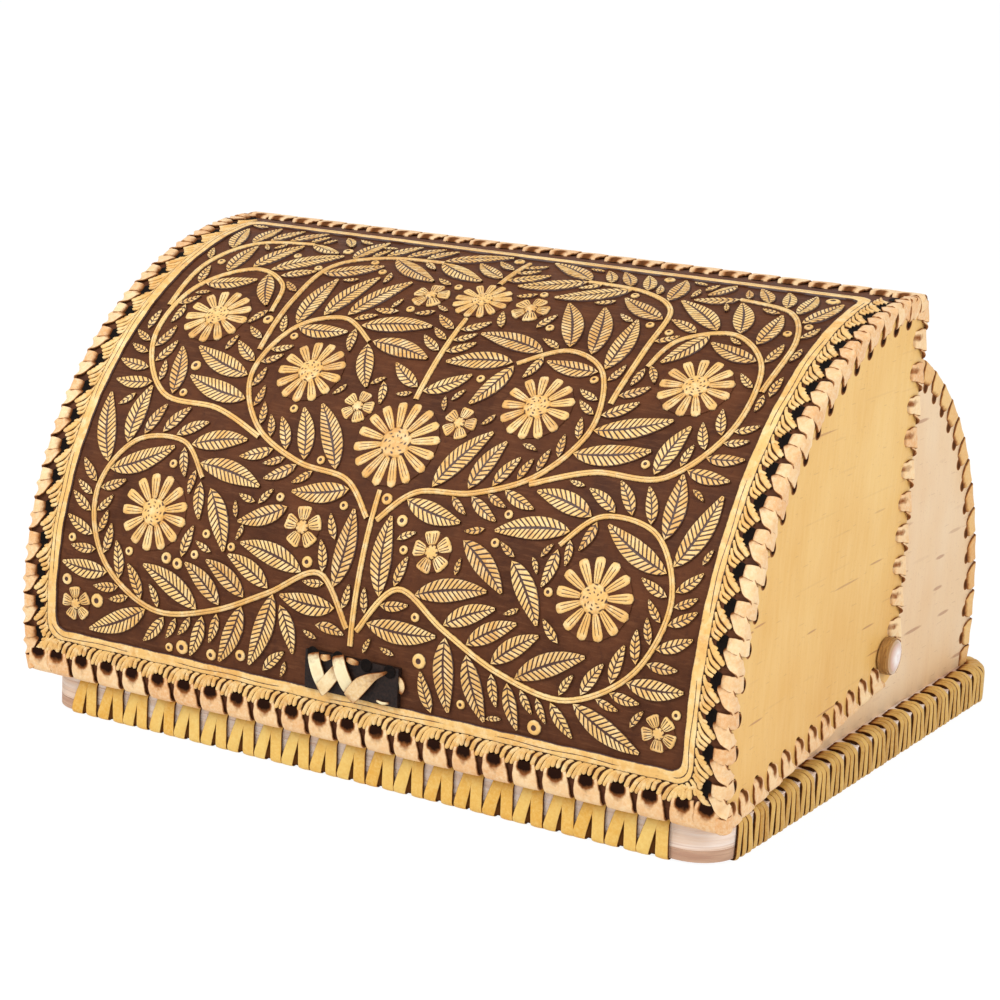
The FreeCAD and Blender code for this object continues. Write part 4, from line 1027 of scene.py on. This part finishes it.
def petal(pile, base, turn, length, width, grooves):
    """A round-ended petal with fine lengthwise grooves."""
    # the stain at the sunk edge is painted shade at the petal's foot
    half = [(1.0, SUNK, 0.9), (0.86, 0.8, 0.0)]
    for g in grooves:
        half += [(g + 0.13, RELIEF, 0.0), (g, RELIEF - GROOVE, 1.0), (g - 0.13, RELIEF, 0.0)]
    last = 11
    rows = []
    for i in range(last + 1):
        t = i / last
        swell = width / 2 * math.sqrt(max(0.0, 1 - (2 * t - 1) ** 4)) * (0.45 + 0.55 * t)
        grooved = 0.1 < t < 0.8
        line = []
        for v, h, stain_and_shade in mirrored(half, (0.0, RELIEF + 0.05, 0.0)):
            flat = base + cmath.rect(length * t, turn) + cmath.rect(v * swell, turn + math.pi / 2)
            # ends and edges sink with painted shade at their foot
            if i in (0, last) or abs(v) == 1:
                h, stain_and_shade = SUNK, 0.9
            elif not grooved:
                h, stain_and_shade = max(h, 0.8), 0.0
            line.append((on_lid(flat, h), stain_and_shade))
        rows.append(line)
    pile.grid(rows, chance.random())


def eye(pile, middle, radius, rings):
    """The flower's round middle, with rings of dots."""
    sectors = 24
    last = rings * 2
    rows = []
    for i in range(last + 1):
        share = i / last
        line = []
        for j in range(sectors):
            dot = 1 < i < last and i % 2 == 1 and j % 3 == 0
            # the outer ring sinks under the ground with painted shade; the dots are dark cuts
            h = SUNK if i == last else (RELIEF + 0.55) * (1 - 0.14 * share * share) - (0.25 if dot else 0)
            flat = middle + cmath.rect(max(radius * share, 0.01), 2 * math.pi * j / sectors)
            line.append((on_lid(flat, h), 1.0 if dot or i == last else 0.0))
        rows.append(line)
    pile.grid(rows, chance.random(), closed=True)


def carve_flower(pile, middle, radius):
    """Many narrow petals on a large flower, five broad ones on a small one."""
    large = radius > LARGE_FLOWER
    count = (16 if radius > LARGEST_FLOWER else 13) if large else 5
    width = 2 * math.pi * radius * 0.66 / count if large else radius * 0.95
    phase = chance.random()
    for i in range(count):
        turn = phase + 2 * math.pi * i / count + vary(0.02)
        petal(pile, middle + cmath.rect(radius * 0.28, turn), turn, radius * (0.72 + vary(0.01)), width,
              (0.34,) if large else (0.62, 0.26))
    eye(pile, middle, radius * 0.38, 4 if large else 2)


def carved_vine():
    """The whole panel: flowers and stems first, then long, short and loose leaves where they find room."""
    piles = {"left": Pile(), "right": Pile(), "middle": Pile()}

    def pile_at(place):
        hand = "left" if place.real < 0 else "right"
        return piles[hand if abs(place.real) > MIDDLE_HALF else "middle"]

    ground = Ground()
    ground.take([complex(x, up) for x in range(round(TAB_LEFT - 3), round(TAB_RIGHT + 3) + 1)
                 for up in range(round(TAB_TOP + 3) + 1)])
    flowers = [(complex(x, up), r) for x, up, r in MIDDLE_FLOWERS] \
        + [(complex(hand * x, up), r) for hand in (1, -1) for x, up, r in SIDE_FLOWERS]
    for middle, radius in flowers:
        ground.take_disc(middle, radius + 0.8)
        carve_flower(pile_at(middle), middle, radius)
    scrolls = [[complex(hand * x, up) for x, up in knots] for hand in (1, -1) for knots in SCROLL_STEMS]
    stems = [(curve(knots), curve(knots, 9)) for knots in scrolls]      # to plan with, and to carve
    ends = [TRUNK_FOOT]
    for x, up, radius in MIDDLE_FLOWERS:
        ends += [up - radius - TRUNK_GAP, up + radius + TRUNK_GAP]
    ends.append(TRUNK_TOP)
    for low, high in zip(ends[::2], ends[1::2]):
        pieces = max(2, round((high - low) / TRUNK_PIECE))
        stems.append(([complex(0, low + (high - low) * i / pieces) for i in range(pieces + 1)],) * 2)
    for path, fine in stems:
        ground.take_lane(path)
        widths = [2.7 - 0.5 * (k / (len(fine) - 1)) ** 3 for k in range(len(fine))]
        ridge(pile_at(path[len(path) // 2]), fine, widths, line=True)
    leaves = []
    for lengths, pitch in ((LONG_LEAVES, 9.0), (SHORT_LEAVES, 4.0)):
        for path, fine in stems:
            leaves += leaves_along(path, ground, lengths, pitch)
    for path, fine in stems:            # one leaf on the tip of each stem
        leaves += longest_leaf(path[-1], cmath.phase(path[-1] - path[-2]), 0, ground,
                               LONG_LEAVES[-1:] + SHORT_LEAVES, (0,), 1.5)
    for leaf in leaves + loose_leaves(ground):
        carve_leaf(pile_at(leaf.rib(0.5)), leaf)
    carve_buds(pile_at, ground)
    for hand, pile in piles.items():
        pile.build("carved_vine_" + hand, gold, "lid", "carved_bark")


# Across the band from its outer edge: share of the width, height and stain, the stain at both edges being
# painted shade; the middle one is the knife mark
KNIFE_MARK = 0.45
BAND_COLUMNS = ((-0.03, -0.2, 1.0), (0.0, 0.84, 0.9), (0.09, 0.9, 0.1), (0.16, 1.0, 0), (0.38, 1.02, 0),
                (KNIFE_MARK, 0.9, 0), (0.52, 1.02, 0), (0.85, 1.0, 0), (0.92, 0.9, 0.1), (1.0, 0.84, 0.9),
                (1.03, -0.2, 1.0))


def raised_band():
    """Light cover of the plain band, round at its corners, with faint knife marks along it."""
    stations = []
    for quarter, (x, y) in enumerate(((1, 1), (-1, 1), (-1, -1), (1, -1))):
        corner = complex(x * BAND_HALF, BAND_HIGH if y > 0 else BAND_LOW)
        inward = complex(-x, -y)
        for i in range(7):
            turn = cmath.rect(1, math.radians(quarter * 90 + i * 15))
            stations.append((corner + (inward + turn) * BAND_CORNER,
                             corner + inward * (BAND_WIDTH + BAND_INNER_CORNER) + turn * BAND_INNER_CORNER))
    loop = []
    for (a, c), (b, d) in zip(stations, stations[1:] + stations[:1]):
        steps = max(1, round(abs(b - a) / 4))
        loop += [(a + (b - a) * i / steps, c + (d - c) * i / steps) for i in range(steps)]
    loop.append(loop[0])
    rows = []
    for i, (outer, inner) in enumerate(loop):
        crack = 1.0 if (i // 7) % 3 else 0.2
        wander = 0.07 * math.sin(i * 0.7)
        ragged = 0.022 * (math.sin(i * 1.9) + math.sin(i * 0.83 + 1))
        rows.append([(on_lid(outer + (inner - outer) * (v + (wander if 0.3 < v < 0.6 else ragged)), h),
                      crack if v == KNIFE_MARK else stain_and_shade) for v, h, stain_and_shade in BAND_COLUMNS])
    pile = Pile()
    pile.grid(rows, 0.5)
    pile.build("raised_band_cover", gold, "lid", "carved_bark")


def feather(pile, start, end, pull, wide, foot):
    """Comma stroke of the border: narrower at its start, round at its end."""
    path = curve([start, start + (end - start) * 0.5 + pull, end])
    widths = [foot + (wide - foot) * (i / (len(path) - 1)) ** 0.7 for i in range(len(path))]
    ahead = unit(path[-1] - path[-2])
    path += [end + ahead * (wide * reach) for reach in (0.3, 0.5)]
    ridge(pile, path, widths + [wide * 0.85, wide * 0.45], 0.8)


# Strokes beside each seam hole: end above the hole's level, end across from the band, and width
SIDE_STROKES = ((-2.2, 3.1, 1.9), (-4.0, 4.2, 1.9), (-5.7, 5.7, 2.0), (-7.3, 6.9, 2.6), (-9.4, 5.4, 2.0),
                (-11.2, 4.1, 1.9), (-13.0, 3.2, 1.8))
LOWER_STROKES = 6                       # to each hole of the lower edge
LOWER_END, SCALLOP = 13.2, 4.4          # level of their ends at a hole, and how much lower between two
CORNER_CURLS = (-22, -38, -54, -70)     # degrees, round the outer side of the band's lower corner


def feather_border():
    """Comma strokes between the band and the laced edges, scalloped about the holes."""
    pile = Pile()
    foot = BAND_LOW - 0.1
    holes = sorted(place.x for place in islands("lid_lacing_lower_edge"))
    pitch = holes[1] - holes[0]
    for x in [holes[0] - pitch] + holes + [holes[-1] + pitch]:
        for j in range(LOWER_STROKES):
            share = (j + 0.5) / LOWER_STROKES - 0.5
            end = complex(x + share * pitch, LOWER_END - SCALLOP * (2 * abs(share)) ** 1.1)
            top = complex(end.real + 0.85 * (foot - end.imag), foot)
            if -BAND_HALF + 1 < top.real < BAND_HALF + 2:
                feather(pile, top, end, complex(-0.7, 0.6), 2.2, 1.5)
    levels = sorted((lid_arch.angle_of(place) - LID_LOW) * LID_RADIUS
                    for place in islands("lid_lacing_arch_right"))
    inner = BAND_HALF + 0.1
    for hand in (1, -1):
        for level in levels + [levels[-1] + levels[1] - levels[0]]:
            for rise, out, wide in SIDE_STROKES:
                start = level + rise + 1.2 * out
                if BAND_LOW - 1 < start < BAND_HIGH + 4:
                    feather(pile, complex(hand * inner, start), complex(hand * (inner + out), level + rise),
                            complex(-0.7 * hand, -0.8), wide, 1.1)
        for degrees in CORNER_CURLS:
            turn = cmath.rect(1, math.radians(degrees))
            start = complex(BAND_HALF - BAND_CORNER, BAND_LOW + BAND_CORNER) + turn * (BAND_CORNER + 0.2)
            end = start + turn * 4.6 + complex(-1.2, -2.2)
            start, end = (complex(hand * p.real, p.imag) for p in (start, end))
            feather(pile, start, end, complex(0.7 * hand, 0.3), 2.4, 1.2)
    pile.build("feather_border", gold, "lid", "carved_bark")


# Strips of the tab: tone, and places from the tab's lower left corner, height over the tab, width and stain,
# which is painted shade where a strip goes into a hole or under another and adds shading along it
TAB_LIMBS = (
    (0.0, ((4.2, 16.2, -0.6, 5.0, 1.0), (4.8, 14.6, 0.6, 6.0, 0.25), (7.2, 8.8, 1.1, 6.4, 0.0),
           (9.2, 4.4, 0.7, 6.4, 0.05), (10.0, 2.6, 0.2, 6.0, 0.5))),
    (0.35, ((8.6, 0.8, 1.2, 5.4, 0.4), (10.4, 2.2, 1.8, 6.0, 0.0), (14.4, 7.2, 1.1, 6.0, 0.0),
            (17.0, 10.8, 0.2, 5.6, 0.5))),
    (0.1, ((17.0, 17.4, -0.6, 5.2, 1.0), (17.6, 15.8, 0.8, 6.2, 0.3), (20.0, 10.8, 1.6, 6.8, 0.0),
           (22.6, 5.8, 1.1, 6.8, 0.0), (24.0, 3.2, 0.2, 6.4, 0.5))),
    (0.62, ((24.2, 0.2, 1.5, 6.0, 0.4), (27.0, 3.4, 2.5, 7.0, 0.0), (31.2, 8.0, 2.7, 6.8, 0.12),
            (35.8, 11.6, 2.0, 4.2, 0.25), (40.0, 13.6, 0.8, 1.8, 0.45), (42.4, 14.8, -0.5, 0.9, 1.0))),
    (0.9, ((8.2, 15.4, 0.1, 1.6, 0.5), (10.4, 15.0, 0.5, 3.0, 0.15), (13.0, 15.8, 0.1, 2.0, 0.5))),
    (0.8, ((21.6, 16.4, 0.1, 1.6, 0.6), (24.6, 16.0, 0.5, 2.8, 0.2), (27.6, 15.6, 0.0, 1.4, 0.7))),
    (0.5, ((46.2, 13.2, -1.4, 1.4, 0.5), (48.4, 11.6, -1.2, 2.4, 0.15), (49.0, 8.8, -1.4, 2.6, 0.2),
           (48.0, 6.2, -1.8, 1.4, 0.6))),
    (0.0, ((37.4, 1.4, 0.0, 0.9, 0.3), (40.4, 1.0, 0.3, 1.2, 0.0), (43.4, 1.4, 0.0, 0.8, 0.4))))
TWISTED_LIMB, TWIST_START = 3, 30.0     # its far end turns over


def tab_lacing():
    """Pale strips laced through the tab's upper holes, each tucked under the next, and their curls."""
    pile = Pile()
    for number, (tone, places) in enumerate(TAB_LIMBS):
        knots = []
        for x, up, height, wide, stain_and_shade in places:
            flat = complex(TAB_LEFT + x, TAB_FOOT + up)
            normal = lid_arch.outward(LID_LOW + flat.imag / LID_RADIUS)
            if number == TWISTED_LIMB and x > TWIST_START:
                normal = (normal + Vector((0.6, 0, -0.8)) * (x - TWIST_START) / 10).normalized()
            knots.append((on_lid(flat, TAB_SKIN + height), normal, wide, stain_and_shade))
        ribbon(pile, knots, tone, thickness=0.7, crown=0.08)
    pile.build("tab_strips", tab_strip, "lid", "tab_strip", "pull_tab_strips")


# Painted shade over the front sheet's holes: rim to middle, as share of the size, height and stain, and their
# sizes
HOLE_SHADE_RINGS = ((1.0, 0.02, 0), (0.94, 0.1, 0), (0.7, -0.1, 0), (0.4, -0.5, 0), (0.01, -0.6, 0))
SEAM_RIM_INSET = 7.5                    # from the sheet's edge
EDGE_RIMS = (("lower", 10.4, 2.5), ("upper", ARC - 10.8, 1.7))      # edge, level and half height


def hole_shade_patches():
    """Painted shade of the holes along the seams and the straight edges of the front sheet: dark patches over
    them.
    """
    pile = Pile()
    for hand, side in (("left", -1), ("right", 1)):
        for place in islands("lid_lacing_arch_" + hand):
            up = (lid_arch.angle_of(place) - LID_LOW) * LID_RADIUS
            lid_oval(pile, complex((LID_HALF - SEAM_RIM_INSET) * side, up), 3.0, 3.9, HOLE_SHADE_RINGS)
    for edge, level, half in EDGE_RIMS:
        for place in islands("lid_lacing_%s_edge" % edge):
            lid_oval(pile, complex(place.x, level), HOLE_RADIUS, half, HOLE_SHADE_RINGS)
    pile.build("hole_shade_patches", painted_hole_shade, "lid", "carved_bark")


def tab_holes():
    """Painted shade of the punched holes along the tab's upper edge: dark dots in the leather."""
    pile = Pile()
    for x, up in ((4.0, 15.9), (17.0, 16.2), (31.4, 15.6), (43.2, 15.0)):
        # radius, height and stain, from the raised rim to the middle
        lid_oval(pile, complex(TAB_LEFT + x, TAB_FOOT + up), 1, 1,
                 ((2.9, 2.62, 0.0), (2.6, 2.9, 0.2), (2.2, 2.75, 1.0), (0.02, 2.66, 1.0)), 16)
    pile.build("tab_holes", painted_hole_shade, "lid", "tab_leather")


raised_band()
feather_border()
carved_vine()
tab_lacing()
hole_shade_patches()
tab_holes()


# ------------------------------------------------------------------ stage, light and camera
WHITE = (1, 1, 1, 1)


def seen_white(tree, share):
    """How much white the rays see that the eye, mirrors and glass send."""
    path = add_node(tree, "LightPath").outputs
    seen = path["Is Camera Ray"]
    for ray in ("Is Glossy Ray", "Is Transmission Ray"):
        seen = add_node(tree, "Math", {0: seen, 1: path[ray]}, operation="MAXIMUM").outputs[0]
    return add_node(tree, "Math", {0: seen, 1: share}, operation="MULTIPLY").outputs[0]


def lay_floor(half):
    """Pale floor that keeps the object's shadow and looks white to the eye."""
    made = bpy.data.materials.new("white_floor")
    made.use_nodes = True
    tree = made.node_tree
    lit = tree.nodes["Principled BSDF"]
    feed(tree, lit.inputs["Base Color"], (0.9, 0.9, 0.9, 1))
    feed(tree, lit.inputs["Roughness"], 0.9)
    glow = add_node(tree, "Emission", {"Strength": 1.08})
    blend = add_node(tree, "MixShader", {0: seen_white(tree, 0.86), 1: lit.outputs[0], 2: glow.outputs[0]})
    feed(tree, tree.nodes["Material Output"].inputs[0], blend.outputs[0])
    mesh = bpy.data.meshes.new("floor")
    square = [(x * half, y * half, 0) for x, y in ((-1, -1), (1, -1), (1, 1), (-1, 1))]
    mesh.from_pydata(square, [], [(0, 1, 2, 3)])
    mesh.materials.append(made)
    floor = bpy.data.objects.new("floor", mesh)
    bpy.context.scene.collection.objects.link(floor)


def white_world(strength):
    """Even light all round, behind a backdrop that looks white."""
    world = bpy.data.worlds.new("studio")
    bpy.context.scene.world = world
    world.use_nodes = True
    tree = world.node_tree
    light = tree.nodes["Background"]
    feed(tree, light.inputs["Color"], WHITE)
    feed(tree, light.inputs["Strength"], strength)
    backdrop = add_node(tree, "Background", {"Color": WHITE})
    blend = add_node(tree, "MixShader", {0: seen_white(tree, 1.0), 1: light.outputs[0],
                                         2: backdrop.outputs[0]})
    feed(tree, tree.nodes["World Output"].inputs[0], blend.outputs[0])


def softbox(name, place, size, power):
    """Round lamp that faces the middle of the box."""
    lamp = bpy.data.lights.new(name, "AREA")
    lamp.shape = "DISK"
    lamp.size = size
    lamp.energy = power
    made = bpy.data.objects.new(name, lamp)
    made.location = place
    made.rotation_euler = (Vector((0, 0, 0.1)) - Vector(place)).to_track_quat("-Z", "Y").to_euler()
    bpy.context.scene.collection.objects.link(made)


CAMERA_PLACE = (0.59106, -1.05852, 0.37598)
CAMERA_TURNS = (-30.1911, 12.9185, 2.8051)      # turn, downward pitch and roll, in degrees
FOCAL_LENGTH, SENSOR_WIDTH = 94.154, 36.0


def place_camera():
    """Camera at the height, turn and roll that show the box from its front right."""
    yaw, pitch, roll = (math.radians(a) for a in CAMERA_TURNS)
    ahead = Vector((math.sin(yaw) * math.cos(pitch), math.cos(yaw) * math.cos(pitch), -math.sin(pitch)))
    right = Vector((math.cos(yaw), -math.sin(yaw), 0))
    up = right.cross(ahead)
    level_right = right * math.cos(roll) + up * math.sin(roll)
    level_up = up * math.cos(roll) - right * math.sin(roll)
    lens = bpy.data.cameras.new("camera")
    lens.lens = FOCAL_LENGTH
    lens.sensor_width = SENSOR_WIDTH
    lens.clip_start = 0.05
    made = bpy.data.objects.new("camera", lens)
    bpy.context.scene.collection.objects.link(made)
    turn = Matrix((level_right, level_up, -ahead)).transposed()
    made.matrix_world = Matrix.Translation(CAMERA_PLACE) @ turn.to_4x4()
    bpy.context.scene.camera = made


lay_floor(half=200.0)
white_world(strength=0.62)
softbox("key", (-0.7, -1.3, 1.5), size=0.9, power=20)
softbox("fill", (1.6, -0.5, 0.9), size=1.0, power=10)
place_camera()
bpy.context.scene.view_settings.view_transform = "Standard"
